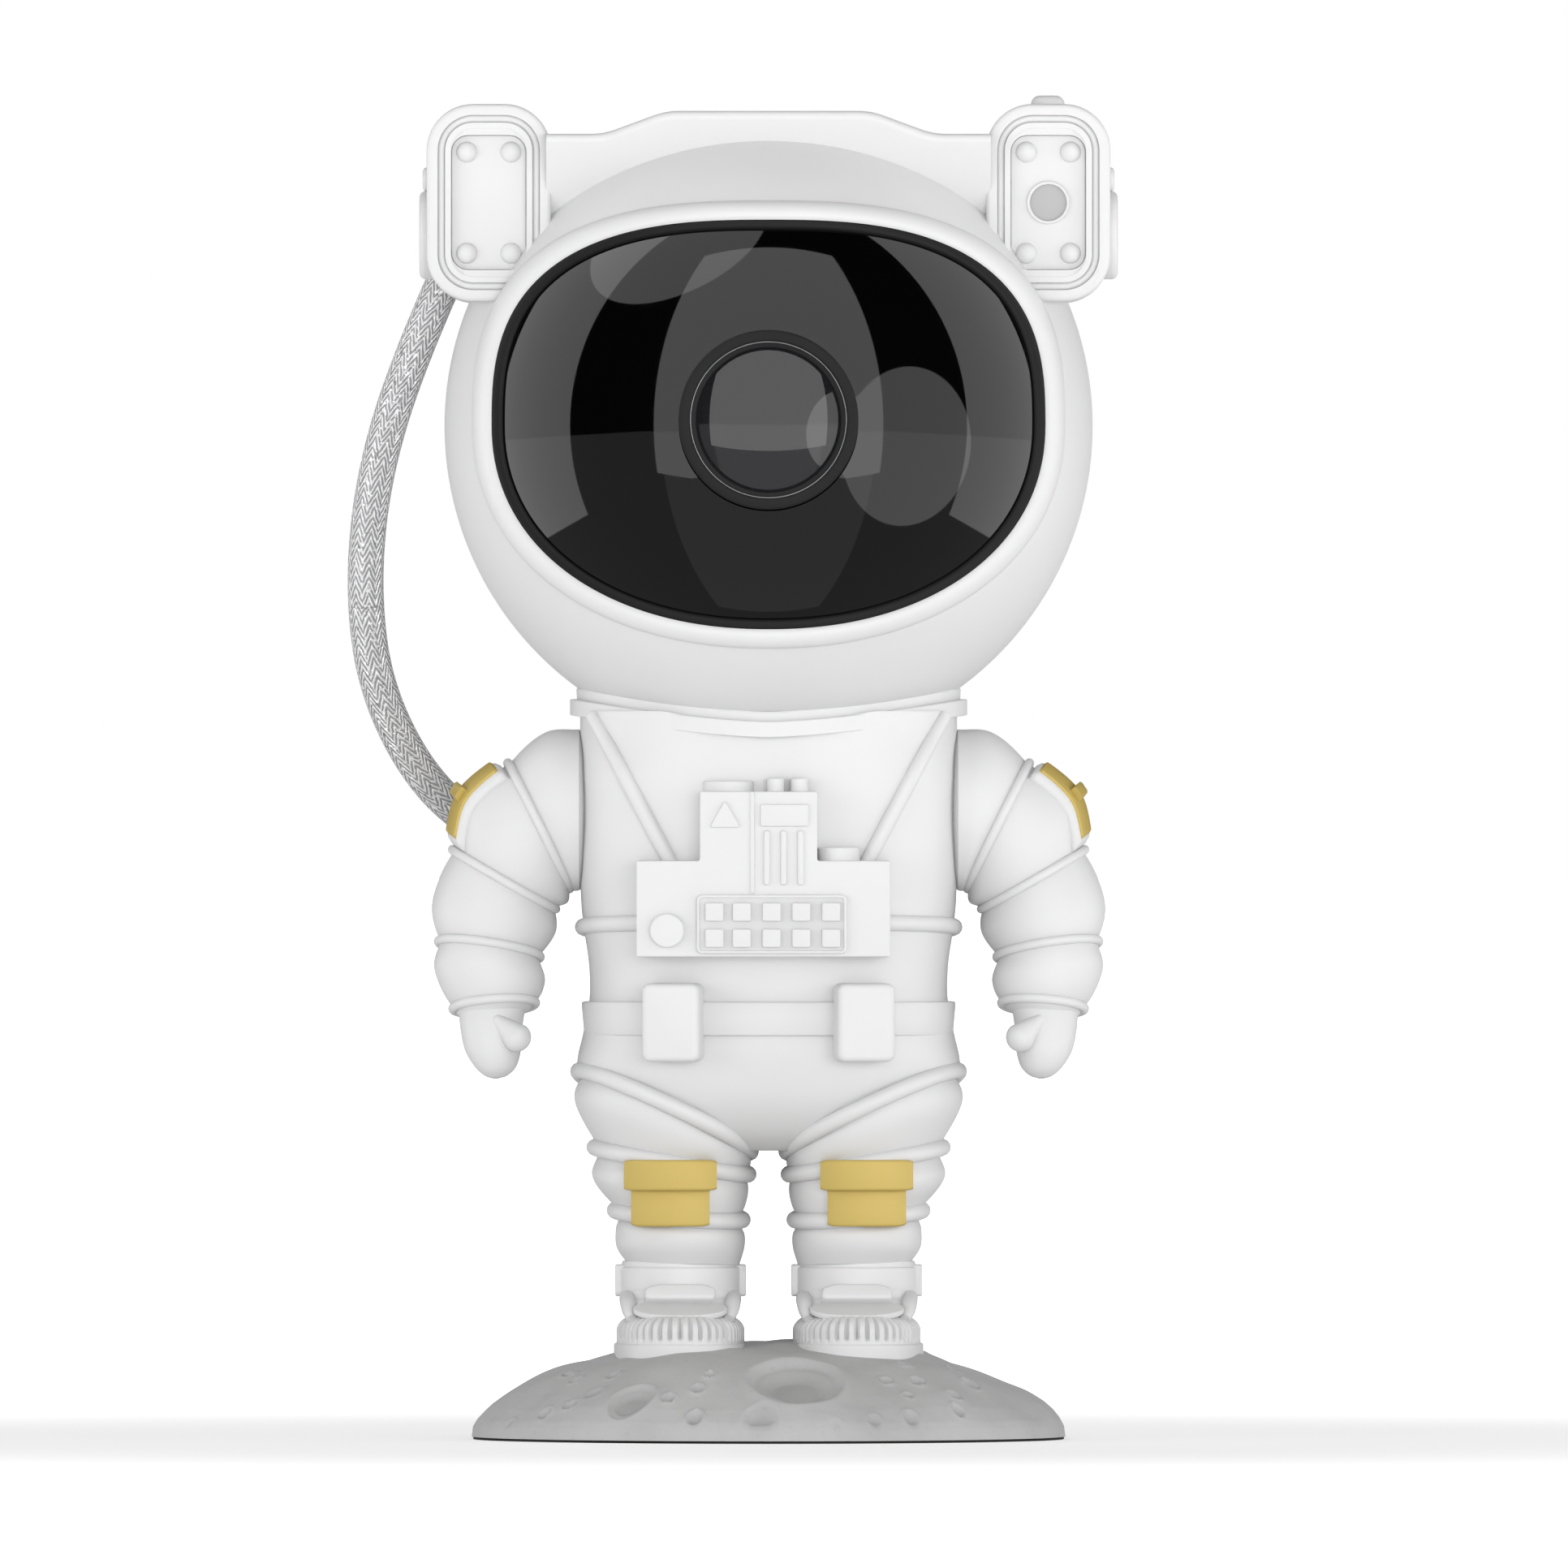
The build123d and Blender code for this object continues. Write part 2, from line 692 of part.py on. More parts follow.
# ---------------------------------------------------------------- backpack
pack_front = torso_half_depth - 6
pack_back = pack_front + pack_depth
hose_exit_z = pack_low + 25.0
hose_exit_y = pack_front + 11.0
cover_margin = 4.0
with BuildPart() as backpack_shell:
    with BuildSketch(back_plane(pack_front, pack_low)):
        with Locations((0, pack_height / 2)):
            RectangleRounded(2 * pack_half_width, pack_height, pack_corner)
    extrude(amount=-pack_depth)
    fillet(backpack_shell.faces().sort_by(Axis.Y)[-1].edges(), 2.5)
    with BuildSketch(back_plane(pack_front, pack_low + pack_wall)):
        with Locations((0, pack_height / 2 - pack_wall)):
            RectangleRounded(2 * (pack_half_width - pack_wall), pack_height - 2 * pack_wall,
                             pack_corner - pack_wall)
    extrude(amount=pack_wall * 1.2 - pack_depth, mode=Mode.SUBTRACT)
    with BuildSketch(back_plane(pack_back, pack_low)):
        with Locations((0, pack_height / 2)):
            RectangleRounded(2 * (pack_half_width - cover_margin), pack_height - 2 * cover_margin,
                             pack_corner - 2)
    extrude(amount=pack_wall * 1.2, mode=Mode.SUBTRACT)
    with BuildSketch(back_plane(pack_back, pack_low)):
        with Locations((0, pack_height / 2)):
            Rectangle(2 * (pack_half_width - cover_margin) - 4,
                      pack_height - 2 * cover_margin - 4)
    extrude(amount=2.0, mode=Mode.SUBTRACT)
    with Locations(Location((-pack_half_width, hose_exit_y, hose_exit_z), (0, 90, 0))):
        Cylinder(ferrule_radius + running_gap, 4 * pack_wall, mode=Mode.SUBTRACT)
    add(oval_tower(torso_sections), mode=Mode.SUBTRACT)
save(backpack_shell.part, "backpack_shell")

with BuildPart() as backpack_cover:
    with BuildSketch(back_plane(pack_back, pack_low)):
        with Locations((0, pack_height / 2)):
            RectangleRounded(2 * (pack_half_width - cover_margin - running_gap),
                             pack_height - 2 * (cover_margin + running_gap), pack_corner - 2)
    extrude(amount=pack_wall)
    with BuildSketch(back_plane(pack_back, pack_low + pack_height / 2)):
        with GridLocations(0, 4.0, 1, 4):
            SlotOverall(20.0, 1.6)
    extrude(amount=pack_wall, mode=Mode.SUBTRACT)
save(backpack_cover.part, "backpack_cover")

with BuildPart() as torso_screws:
    for boss_x, boss_z in torso_boss_places:
        with BuildSketch(front_plane(torso_screw_depth, boss_z)):
            with Locations((boss_x, 0)):
                Circle(screw_radius)
        extrude(amount=-torso_screw_depth - torso_head_y)
        with BuildSketch(back_plane(torso_head_y, boss_z)):
            with Locations((boss_x, 0)):
                Circle(screw_radius * 1.7)
        extrude(amount=-1.8)
save(torso_screws.part, "torso_screws")

# ---------------------------------------------------------------- hose
hose_top_x = -53.7
hose_points = [
    (hose_top_x, 1.0, 204.8), (-61.8, 1.5, 187.0), (-68.3, 3.5, 166.0), (-70.1, 6.5, 146.0),
    (-67.6, 11.5, 128.0), (-58.5, 20.0, 111.5), (-46.0, 28.5, 103.0),
    (-34.0, hose_exit_y, hose_exit_z), (-pack_half_width - 0.5, hose_exit_y, hose_exit_z),
]
hose_vectors = [Vector(point) for point in hose_points]


def hose_radii():
    """Largest tangent arc at each inner point of the route."""
    radii = []
    for before, corner, after in zip(hose_vectors, hose_vectors[1:], hose_vectors[2:]):
        turn = (corner - before).get_angle(after - corner)
        shorter = min((corner - before).length, (after - corner).length)
        radii.append(0.45 * shorter / (sin(radians(turn / 2)) / cos(radians(turn / 2))))
    return radii


with BuildPart() as hose:
    with BuildLine() as route:
        FilletPolyline(*hose_points, radius=hose_radii())
    with BuildSketch(Plane(origin=hose_points[0], z_dir=hose_vectors[1] - hose_vectors[0])):
        Circle(hose_radius)
    sweep()
print("hose radii", [round(radius, 1) for radius in hose_radii()])
hose_length = sum(edge.length for edge in route.edges())
print("hose length", round(hose_length, 1), "volume", round(hose.part.volume),
      "section times length", round(pi * hose_radius ** 2 * hose_length))
save(hose.part, "hose")

hose_top_plane = Plane(origin=hose_points[0], z_dir=hose_vectors[1] - hose_vectors[0])


def hose_ferrule(plane, length):
    """Socket ring that grips the end of the hose."""
    with BuildPart() as ferrule:
        with BuildSketch(plane):
            Circle(ferrule_radius)
            Circle(hose_radius, mode=Mode.SUBTRACT)
        extrude(amount=length)
    return ferrule.part


hose_low_plane = Plane(origin=(-pack_half_width + pack_wall + 0.5, hose_exit_y, hose_exit_z),
                       x_dir=(0, 1, 0), z_dir=(-1, 0, 0))
save(hose_ferrule(hose_low_plane, ferrule_length + 1), "hose_lower_socket")
save(hose_ferrule(hose_top_plane, ferrule_length), "hose_upper_socket")


# ---------------------------------------------------------------- arms
def arm_point(reach, height):
    """Side point of the left arm: reach out from the shoulder face, height above its axis."""
    return -shoulder_x - reach, shoulder_z + height


arm_stations = [
    (arm_point(0.0, shoulder_radius), arm_point(0.0, -shoulder_radius), shoulder_radius, 0.0),
    (arm_point(12.4, 8.5), arm_point(1.4, -13.9), 12.6, 0.0),
    (arm_point(19.6, 2.2), arm_point(2.3, -15.7), 12.4, 0.0),
    (arm_point(21.9, -6.7), arm_point(3.5, -17.4), 11.2, -0.6),
    (arm_point(25.2, -15.7), arm_point(3.7, -21.3), 11.0, -1.8),
    (arm_point(24.6, -22.7), arm_point(6.1, -25.4), 9.6, -3.2),
    (arm_point(24.9, -28.0), arm_point(6.4, -29.7), 9.2, -4.4),
    (arm_point(22.1, -34.4), arm_point(7.0, -33.2), 7.6, -5.6),
]
hand_stations = [
    (arm_point(20.6, -34.3), arm_point(9.4, -33.4), 5.4, -5.6),
    (arm_point(20.6, -38.5), arm_point(9.8, -38.0), 6.2, -6.4),
    (arm_point(20.3, -43.5), arm_point(10.5, -43.0), 5.4, -7.4),
    (arm_point(17.9, -34.4 - hand_length), arm_point(12.6, -34.2 - hand_length), 2.4, -8.0),
]
thumb_place = (-shoulder_x - 10.8, -11.0, shoulder_z - 38.9)


def make_arm():
    """Bent left sleeve with piping between its folds, and a blind bore for its pivot."""
    with BuildPart() as arm:
        add(limb_loft(arm_stations))
        for station in arm_stations[1:6:2]:
            add(limb_bead(station, piping_radius))
        add(limb_loft(arm_stations[1:-1], -arm_wall), mode=Mode.SUBTRACT)
        split(bisect_by=Plane.YZ.offset(-shoulder_x), keep=Keep.BOTTOM)
        with BuildSketch(Plane.YZ.offset(-shoulder_x)):
            with Locations((0, shoulder_z)):
                Circle(arm_pin_radius)
        extrude(amount=-arm_pin_depth, mode=Mode.SUBTRACT)
    return arm.part


def make_arm_pivot():
    """Stub on which the left arm turns, with its retaining head inside the torso."""
    with BuildPart() as pivot:
        with BuildSketch(Plane.YZ.offset(-pin_head_x)):
            with Locations((0, shoulder_z)):
                Circle(arm_pin_radius)
        extrude(amount=pin_head_x - shoulder_x - arm_pin_depth)
        with BuildSketch(Plane.YZ.offset(-pin_head_x)):
            with Locations((0, shoulder_z)):
                Circle(pin_head_radius)
        extrude(amount=1.5)
    return pivot.part


def make_hand():
    """Left mitten with a ball of a thumb."""
    with BuildPart() as hand:
        add(limb_loft(hand_stations))
        with Locations(thumb_place):
            Sphere(2.7)
    return hand.part


def patch_block():
    """Block across the outside of the left arm's upper fold, where its patch lies."""
    middle_x, middle_z = arm_point(19.0, 1.0)
    along = Vector(-10.8, 0, -13.1)
    with BuildPart(Plane(origin=(middle_x, 0, middle_z), x_dir=along,
                         z_dir=along.cross(Vector(0, 1, 0)))) as block:
        Box(patch_length, patch_width, shoulder_radius)
    return block.part


def make_shoulder_patch(arm):
    """Gold plate wrapped over the outside of the left arm's upper fold."""
    with BuildPart() as patch:
        add(limb_loft(arm_stations[1:4], patch_thickness))
        add(patch_block(), mode=Mode.INTERSECT)
        add(limb_loft(arm_stations), mode=Mode.SUBTRACT)
        add(arm, mode=Mode.SUBTRACT)
    return patch.part


left_arm = make_arm()
save_pair(left_arm, "arm")
save_pair(make_arm_pivot(), "arm_pivot")
save_pair(make_hand(), "hand")
save_pair(make_shoulder_patch(left_arm), "shoulder_patch")

# ---------------------------------------------------------------- neck swivel
magnet_top = neck_seat_z - seat_gap
with BuildPart() as swivel_cup:
    with BuildSketch(Plane.XY.offset(swivel_low)):
        Circle(swivel_radius)
    extrude(amount=neck_seat_z + 3 - swivel_low)
    add(head_ball(head_radius + loose_gap), mode=Mode.SUBTRACT)
    with BuildSketch(Plane.XY.offset(swivel_low)):
        Circle(pivot_radius + running_gap)
    extrude(amount=pivot_height, mode=Mode.SUBTRACT)
    with BuildSketch(Plane.XY.offset(magnet_top - magnet_thickness)):
        Circle(magnet_radius)
    extrude(amount=2 * magnet_thickness, mode=Mode.SUBTRACT)
save(swivel_cup.part, "swivel_cup")

with BuildPart() as holding_magnet:
    with BuildSketch(Plane.XY.offset(magnet_top - magnet_thickness)):
        Circle(magnet_radius)
    extrude(amount=magnet_thickness)
save(holding_magnet.part, "holding_magnet")


# ---------------------------------------------------------------- helmet
def visor_points(grow):
    """Visor outline about the head's centre: a rounded oblong, squarer above than below."""
    half_width = visor_half_width + grow
    points = []
    steps = 28
    for step in range(steps):
        turn = 2 * pi * step / steps
        upper = sin(turn) >= 0
        power = 2 / (visor_power_top if upper else visor_power_bottom)
        height = (visor_rise if upper else visor_drop) + grow
        across = half_width * abs(cos(turn)) ** power
        along = height * abs(sin(turn)) ** power
        points.append((across if cos(turn) >= 0 else -across, along if upper else -along))
    return points


def visor_prism(grow):
    """Everything in front of the head that lies inside the visor outline."""
    with BuildPart() as prism:
        with BuildSketch(front_plane(20, head_z)):
            with BuildLine():
                Spline(*visor_points(grow), periodic=True)
            make_face()
        extrude(amount=head_radius)
    return prism.part


visor_opening = visor_prism(0.0)
boss_angles = (45, 135, 225, 315)
boss_places = [(boss_circle * cos(radians(angle)), boss_circle * sin(radians(angle)))
               for angle in boss_angles]


def boss_columns(radius, start, end):
    """Four columns along Y from y = start to y = end, one for each helmet screw."""
    with BuildPart() as columns:
        with BuildSketch(front_plane(-start, head_z)):
            with Locations(*boss_places):
                Circle(radius)
        extrude(amount=start - end)
    return columns.part


def clipped_bosses(start, end):
    """Screw bosses that end inside the helmet's wall."""
    with BuildPart() as bosses:
        add(boss_columns(boss_radius, start, end))
        add(head_ball(head_radius - 0.5), mode=Mode.INTERSECT)
    return bosses.part


def front_block(depth, half_size=80.0):
    """Block that holds everything in front of y = -depth."""
    with BuildPart() as block:
        with BuildSketch(front_plane(depth, head_z)):
            Rectangle(2 * half_size, 2 * half_size)
        extrude(amount=half_size)
    return block.part


def make_helmet_blank():
    """Ball shell, cut flat at the crown."""
    with BuildPart() as blank:
        add(head_ball(head_radius))
        add(head_ball(head_inner), mode=Mode.SUBTRACT)
        with BuildSketch(Plane.XY.offset(head_z + crown_cut)):
            Circle(head_radius)
        extrude(amount=head_radius, mode=Mode.SUBTRACT)
    return blank.part


helmet_blank = make_helmet_blank()
with BuildPart() as helmet_front_shell:
    add(helmet_blank)
    add(clipped_bosses(-head_radius, -flange_front))
    add(front_block(0.0), mode=Mode.INTERSECT)
    add(visor_opening, mode=Mode.SUBTRACT)
    add(boss_columns(screw_radius, -flange_front - 8.0, -flange_front), mode=Mode.SUBTRACT)
save(helmet_front_shell.part, "helmet_front_shell")

screw_seat_y = 24.0


def board_posts():
    """Three posts from the rear wall to the control board."""
    with BuildPart() as posts:
        with BuildSketch(back_plane(board_back, head_z)):
            with PolarLocations(board_post_circle, 3, start_angle=0, angular_range=180,
                                endpoint=True):
                Circle(board_post_radius)
        extrude(amount=-head_radius)
        add(head_ball(head_radius - 0.5), mode=Mode.INTERSECT)
    return posts.part


with BuildPart() as helmet_rear_shell:
    add(helmet_blank)
    add(front_block(0.0), mode=Mode.SUBTRACT)
    add(clipped_bosses(-flange_back, head_radius))
    add(boss_columns(screw_radius, -flange_back, head_radius), mode=Mode.SUBTRACT)
    add(boss_columns(screw_radius * 1.7, screw_seat_y, head_radius), mode=Mode.SUBTRACT)
    with BuildSketch(back_plane(panel_face - 8, head_z)):
        with Locations((0, -panel_drop)):
            RectangleRounded(panel_width, panel_height, panel_height * 0.45)
        with Locations((0, -usb_drop)):
            RectangleRounded(usb_width + 2 * running_gap, usb_height + 2 * running_gap, 1.5)
        with Locations((0, usb_drop)):
            with GridLocations(4.0, 0, 7, 1):
                SlotOverall(12.0, 1.6, rotation=90)
    extrude(amount=-head_radius, mode=Mode.SUBTRACT)
    add(board_posts())
save(helmet_rear_shell.part, "helmet_rear_shell")

with BuildPart() as helmet_screws:
    add(boss_columns(screw_radius, -flange_front - 8.0, screw_seat_y))
    add(boss_columns(screw_radius * 1.6, screw_seat_y, screw_seat_y + 2.2))
save(helmet_screws.part, "helmet_screws")


def visor_band(outer_grow, inner_grow, outer_radius, inner_radius):
    """Piece of a ball shell between two visor outlines."""
    with BuildPart() as band:
        add(visor_prism(outer_grow))
        if inner_grow is not None:
            add(visor_prism(inner_grow), mode=Mode.SUBTRACT)
        add(head_ball(outer_radius), mode=Mode.INTERSECT)
        add(head_ball(inner_radius), mode=Mode.SUBTRACT)
    return band.part


glass_outer = head_radius - glass_inset
save(visor_band(rim_width, 0.0, head_radius + rim_height, head_radius), "visor_rim")
save(visor_band(0.0, -gasket_width, head_radius + 0.2, glass_outer), "visor_gasket")
save(visor_band(0.0, None, glass_outer, glass_outer - glass_wall), "visor_glass")


# ---------------------------------------------------------------- headband and ear pods
def band_plane(facing, lean, inset):
    """Leaning plane through the head's side-to-side axis, drawn in by an inset.

    facing is -1 for the band's front plane and 1 for its back plane.
    """
    normal = Vector(0, facing * cos(radians(lean)), -sin(radians(lean)))
    return Plane(origin=Vector(0, 0, head_z) - normal * inset, x_dir=(1, 0, 0), z_dir=normal)


def band_prism(points):
    """Front-view outline about the head's centre, run right through from front to back."""
    with BuildPart() as prism:
        with BuildSketch(front_plane(head_radius, head_z)):
            with BuildLine():
                Polyline(*points, close=True)
            make_face()
        extrude(amount=-2 * head_radius)
    return prism.part


def band_wedge(points, inset):
    """The same outline, trimmed to the wedge between the band's front and back planes."""
    with BuildPart() as wedge:
        add(band_prism(points))
        for facing, lean in ((-1, band_lean), (1, band_back_lean)):
            split(bisect_by=band_plane(facing, lean, inset), keep=Keep.BOTTOM)
    return wedge.part


band_low = pod_low - 1
with BuildPart() as crown_ball:
    add(head_ball(head_radius))
    with BuildSketch(Plane.XY.offset(head_z + crown_cut)):
        Circle(head_radius)
    extrude(amount=head_radius, mode=Mode.SUBTRACT)

with BuildPart() as headband:
    add(band_wedge([(-pod_inner_x, band_low), (-pod_inner_x, band_shoulder),
                    (-band_slope_half, band_shoulder), (-band_flat_half, band_height),
                    (band_flat_half, band_height), (band_slope_half, band_shoulder),
                    (pod_inner_x, band_shoulder), (pod_inner_x, band_low)], 0.0))
    for side in (left_side, right_side):
        add(band_wedge([(side * (crown_cut * 0.42), band_low),
                        (side * (crown_cut * 0.42), band_shoulder - band_wall),
                        (side * (pod_inner_x - band_wall), band_shoulder - band_wall),
                        (side * (pod_inner_x - band_wall), band_low)], band_wall),
            mode=Mode.SUBTRACT)
    add(crown_ball.part, mode=Mode.SUBTRACT)
save(headband.part, "headband")


def pod_block(inset, front, back, width=pod_width, height=pod_height, corner=pod_corner):
    """Rounded block centred on the left pod, from y = -front to y = back."""
    with BuildPart() as block:
        with BuildSketch(front_plane(front)):
            with Locations((-pod_centre_x, pod_centre_z)):
                RectangleRounded(width - 2 * inset, height - 2 * inset, corner - inset)
        extrude(amount=-front - back)
    return block.part


def pod_plate_block(inset, front, back):
    """Rounded block of the face plate's outline."""
    return pod_block(inset, front, back, pod_plate_width, pod_plate_height, pod_plate_corner)


def make_pod():
    """Left ear pod: rounded box against the ball, hollow, with a recess in its face."""
    with BuildPart() as pod:
        add(pod_block(0.0, pod_front, pod_back))
        fillet(pod.faces().sort_by(Axis.Y)[0].edges(), 1.0)
        fillet(pod.faces().sort_by(Axis.Y)[-1].edges(), 2.0)
        with BuildSketch(Plane.YZ.offset(1 - pod_inner_x - pod_width)):
            with Locations((-(pod_front - pod_back) / 2, pod_centre_z - 3.0)):
                Circle(pod_cap_radius)
        extrude(amount=-1 - pod_cap_height)
        add(pod_block(pod_wall, pod_front - pod_recess - pod_wall, pod_back - pod_wall),
            mode=Mode.SUBTRACT)
        add(pod_plate_block(0.0, pod_front, pod_recess - pod_front), mode=Mode.SUBTRACT)
    return pod.part


def make_pod_plate():
    """Inset face plate of the left pod, with four rivet heads."""
    plate_face = pod_front - pod_recess + plate_thickness
    with BuildPart() as plate:
        add(pod_plate_block(running_gap, plate_face, pod_recess - pod_front))
        with BuildSketch(front_plane(plate_face)):
            with Locations((-pod_centre_x, pod_centre_z)):
                with GridLocations(rivet_spacing_x, rivet_spacing_z, 2, 2):
                    Circle(rivet_radius)
        extrude(amount=0.8, taper=25)
    return plate.part


pod_button_y = -(pod_front - pod_back) / 2
sensor_depth = pod_recess + 2 * pod_wall
with BuildPart() as left_ear_pod:
    add(make_pod())
    with BuildSketch(hose_top_plane.offset(-pod_wall)):
        Circle(ferrule_radius + pod_wall)
    extrude(amount=ferrule_length + pod_wall)
    with BuildSketch(hose_top_plane):
        Circle(ferrule_radius + running_gap)
    extrude(amount=4 * ferrule_length, mode=Mode.SUBTRACT)
    add(crown_ball.part, mode=Mode.SUBTRACT)
save(left_ear_pod.part, "left_ear_pod")

with BuildPart() as right_ear_pod:
    add(mirrored(make_pod()))
    with BuildSketch(Plane.XY.offset(pod_top_z - 2 * pod_wall)):
        with Locations((pod_centre_x, pod_button_y)):
            Circle(pod_button_radius + running_gap)
    extrude(amount=4 * pod_wall, mode=Mode.SUBTRACT)
    with BuildSketch(front_plane(pod_front)):
        with Locations((pod_centre_x, pod_centre_z)):
            Circle(sensor_radius)
    extrude(amount=-sensor_depth, mode=Mode.SUBTRACT)
    add(crown_ball.part, mode=Mode.SUBTRACT)
save(right_ear_pod.part, "right_ear_pod")

with BuildPart() as left_pod_plate:
    add(make_pod_plate())
    add(crown_ball.part, mode=Mode.SUBTRACT)
save(left_pod_plate.part, "left_pod_plate")

# The right plate also carries the remote control's window, in its own recess
with BuildPart() as right_pod_plate:
    add(mirrored(make_pod_plate()))
    with BuildSketch(front_plane(pod_front)):
        with Locations((pod_centre_x, pod_centre_z)):
            Circle(sensor_radius)
    extrude(amount=-pod_recess, mode=Mode.SUBTRACT)
    with BuildSketch(front_plane(pod_front - pod_recess - pod_wall)):
        with Locations((pod_centre_x, pod_centre_z)):
            Circle(sensor_radius)
    extrude(amount=pod_wall)
    add(crown_ball.part, mode=Mode.SUBTRACT)
save(right_pod_plate.part, "right_pod_plate")

with BuildPart() as pod_button:
    with BuildSketch(Plane.XY.offset(pod_top_z - pod_wall - 0.4)):
        with Locations((pod_centre_x, pod_button_y)):
            Circle(pod_button_radius)
    extrude(amount=pod_wall + 0.4 + pod_button_height)
    fillet(pod_button.faces().sort_by(Axis.Z)[-1].edges(), pod_button_height * 0.9)
    with BuildSketch(Plane.XY.offset(pod_top_z - pod_wall - 1.2)):
        with Locations((pod_centre_x, pod_button_y)):
            Circle(pod_button_radius + 1)
    extrude(amount=0.9)
save(pod_button.part, "pod_button")

# ---------------------------------------------------------------- projector
with BuildPart() as seat_plate:
    with BuildSketch(Plane.XY.offset(head_z - head_inner + 1.6)):
        Circle(swivel_radius * 0.8)
    extrude(amount=1.5)
save(seat_plate.part, "seat_plate")

lens_radius = barrel_radius - barrel_wall
flange_radius = sqrt(head_inner ** 2 - flange_front ** 2) - 0.1
led_post_places = [(led_size * 0.4 * side, lens_z + led_size * 0.42)
                   for side in (left_side, right_side)]
with BuildPart() as optics_chassis:
    with BuildSketch(front_plane(flange_back)):
        with Locations((0, head_z)):
            Circle(flange_radius)
        with Locations((0, lens_z)):
            Circle(window_radius, mode=Mode.SUBTRACT)
        with Locations((0, lens_z + laser_rise)):
            Circle(laser_radius + running_gap, mode=Mode.SUBTRACT)
        with Locations((0, pinion_z)):
            Circle(shaft_radius * 2, mode=Mode.SUBTRACT)
        with Locations(*[(x, z + head_z) for x, z in boss_places]):
            Circle(screw_radius, mode=Mode.SUBTRACT)
    extrude(amount=flange_thickness)
    with BuildSketch(front_plane(flange_front)):
        with Locations((0, lens_z)):
            Circle(barrel_radius)
            Circle(lens_radius, mode=Mode.SUBTRACT)
    extrude(amount=barrel_front - flange_front)
    with BuildSketch(front_plane(flange_back)):
        with Locations((0, disc_z)):
            Circle(axle_radius)
    extrude(amount=-flange_gap - disc_thickness - 1)
    with BuildSketch(front_plane(flange_back)):
        with Locations(*led_post_places):
            Circle(1.4)
    extrude(amount=led_front - flange_back)
save(optics_chassis.part, "optics_chassis")

def lens_bulge():
    """Ball that rounds the front of the lens."""
    with BuildPart() as bulge:
        with Locations((0, lens_ball_radius - barrel_front + 1.5, lens_z)):
            Sphere(lens_ball_radius)
    return bulge.part


with BuildPart() as projection_lens:
    with BuildSketch(front_plane(barrel_front - 1.5 - lens_thickness)):
        with Locations((0, lens_z)):
            Circle(lens_radius)
    extrude(amount=lens_thickness)
    add(lens_bulge(), mode=Mode.INTERSECT)
save(projection_lens.part, "projection_lens")


def gear_block(teeth, centre_z, phase):
    """Spur gear: a root disc with tapered teeth."""
    root = gear_module * (teeth / 2 - 1.15)
    tooth_height = gear_module * 2.05
    foot = gear_module * 2.0 - tooth_backlash / 2
    with BuildPart() as gear:
        with BuildSketch(front_plane(disc_front)):
            with Locations((0, centre_z)):
                Circle(root + 0.05)
                with PolarLocations(root, teeth, start_angle=phase):
                    Trapezoid(foot, tooth_height, 71, rotation=-90,
                              align=(Align.CENTER, Align.MIN))
        extrude(amount=-disc_thickness)
    return gear.part


with BuildPart() as nebula_disc:
    add(gear_block(disc_teeth, disc_z, 0))
    with BuildSketch(front_plane(disc_front + 1)):
        with Locations((0, disc_z)):
            Circle(axle_radius + running_gap)
    extrude(amount=-2 * disc_thickness, mode=Mode.SUBTRACT)
save(nebula_disc.part, "nebula_disc")

with BuildPart() as motor_pinion:
    add(gear_block(pinion_teeth, pinion_z, 180 / pinion_teeth))
    with BuildSketch(front_plane(disc_front)):
        with Locations((0, pinion_z)):
            Circle(shaft_radius)
    extrude(amount=flange_front + motor_length / 2 - disc_front)
save(motor_pinion.part, "motor_pinion")

with BuildPart() as drive_motor:
    with BuildSketch(front_plane(flange_front)):
        with Locations((0, pinion_z)):
            Circle(motor_radius)
    extrude(amount=motor_length)
    with BuildSketch(front_plane(flange_front)):
        with Locations((0, pinion_z)):
            Circle(shaft_radius + running_gap)
    extrude(amount=motor_length / 2 + running_gap, mode=Mode.SUBTRACT)
save(drive_motor.part, "drive_motor")

with BuildPart() as laser_module:
    with BuildSketch(front_plane(flange_back)):
        with Locations((0, lens_z + laser_rise)):
            Circle(laser_radius)
    extrude(amount=laser_length)
    with BuildSketch(front_plane(flange_back)):
        with Locations((0, lens_z + laser_rise)):
            Circle(laser_radius + 1)
    extrude(amount=-1.5)
save(laser_module.part, "laser_module")

with BuildPart() as led_board:
    with BuildSketch(front_plane(led_front)):
        with Locations((0, lens_z)):
            Rectangle(led_size, led_size)
    extrude(amount=-1.6)
    with BuildSketch(front_plane(led_front)):
        with Locations((0, lens_z)):
            Rectangle(3.5, 3.5)
    extrude(amount=0.9)
    with BuildSketch(front_plane(led_front - 1.6)):
        with Locations((0, lens_z)):
            Rectangle(led_size, led_size)
    extrude(amount=-2.0)
    with BuildSketch(front_plane(led_front - 3.6)):
        with Locations((0, lens_z)):
            with GridLocations(3.8, 0, 6, 1):
                Rectangle(1.0, led_size)
    extrude(amount=-10.0)
save(led_board.part, "led_board")

# ---------------------------------------------------------------- controls
keys = {"nebula_button": -key_pitch, "power_button": 0.0, "star_button": key_pitch}
panel_z = head_z - panel_drop
key_flange_back = panel_face - panel_thickness - 0.2
with BuildPart() as control_panel:
    with BuildSketch(back_plane(panel_face - panel_thickness, panel_z)):
        RectangleRounded(panel_width, panel_height, panel_height * 0.45)
        with GridLocations(key_pitch, 0, 3, 1):
            Circle(key_radius + running_gap, mode=Mode.SUBTRACT)
    extrude(amount=-panel_thickness)
    add(head_ball(head_radius), mode=Mode.INTERSECT)
save(control_panel.part, "control_panel")

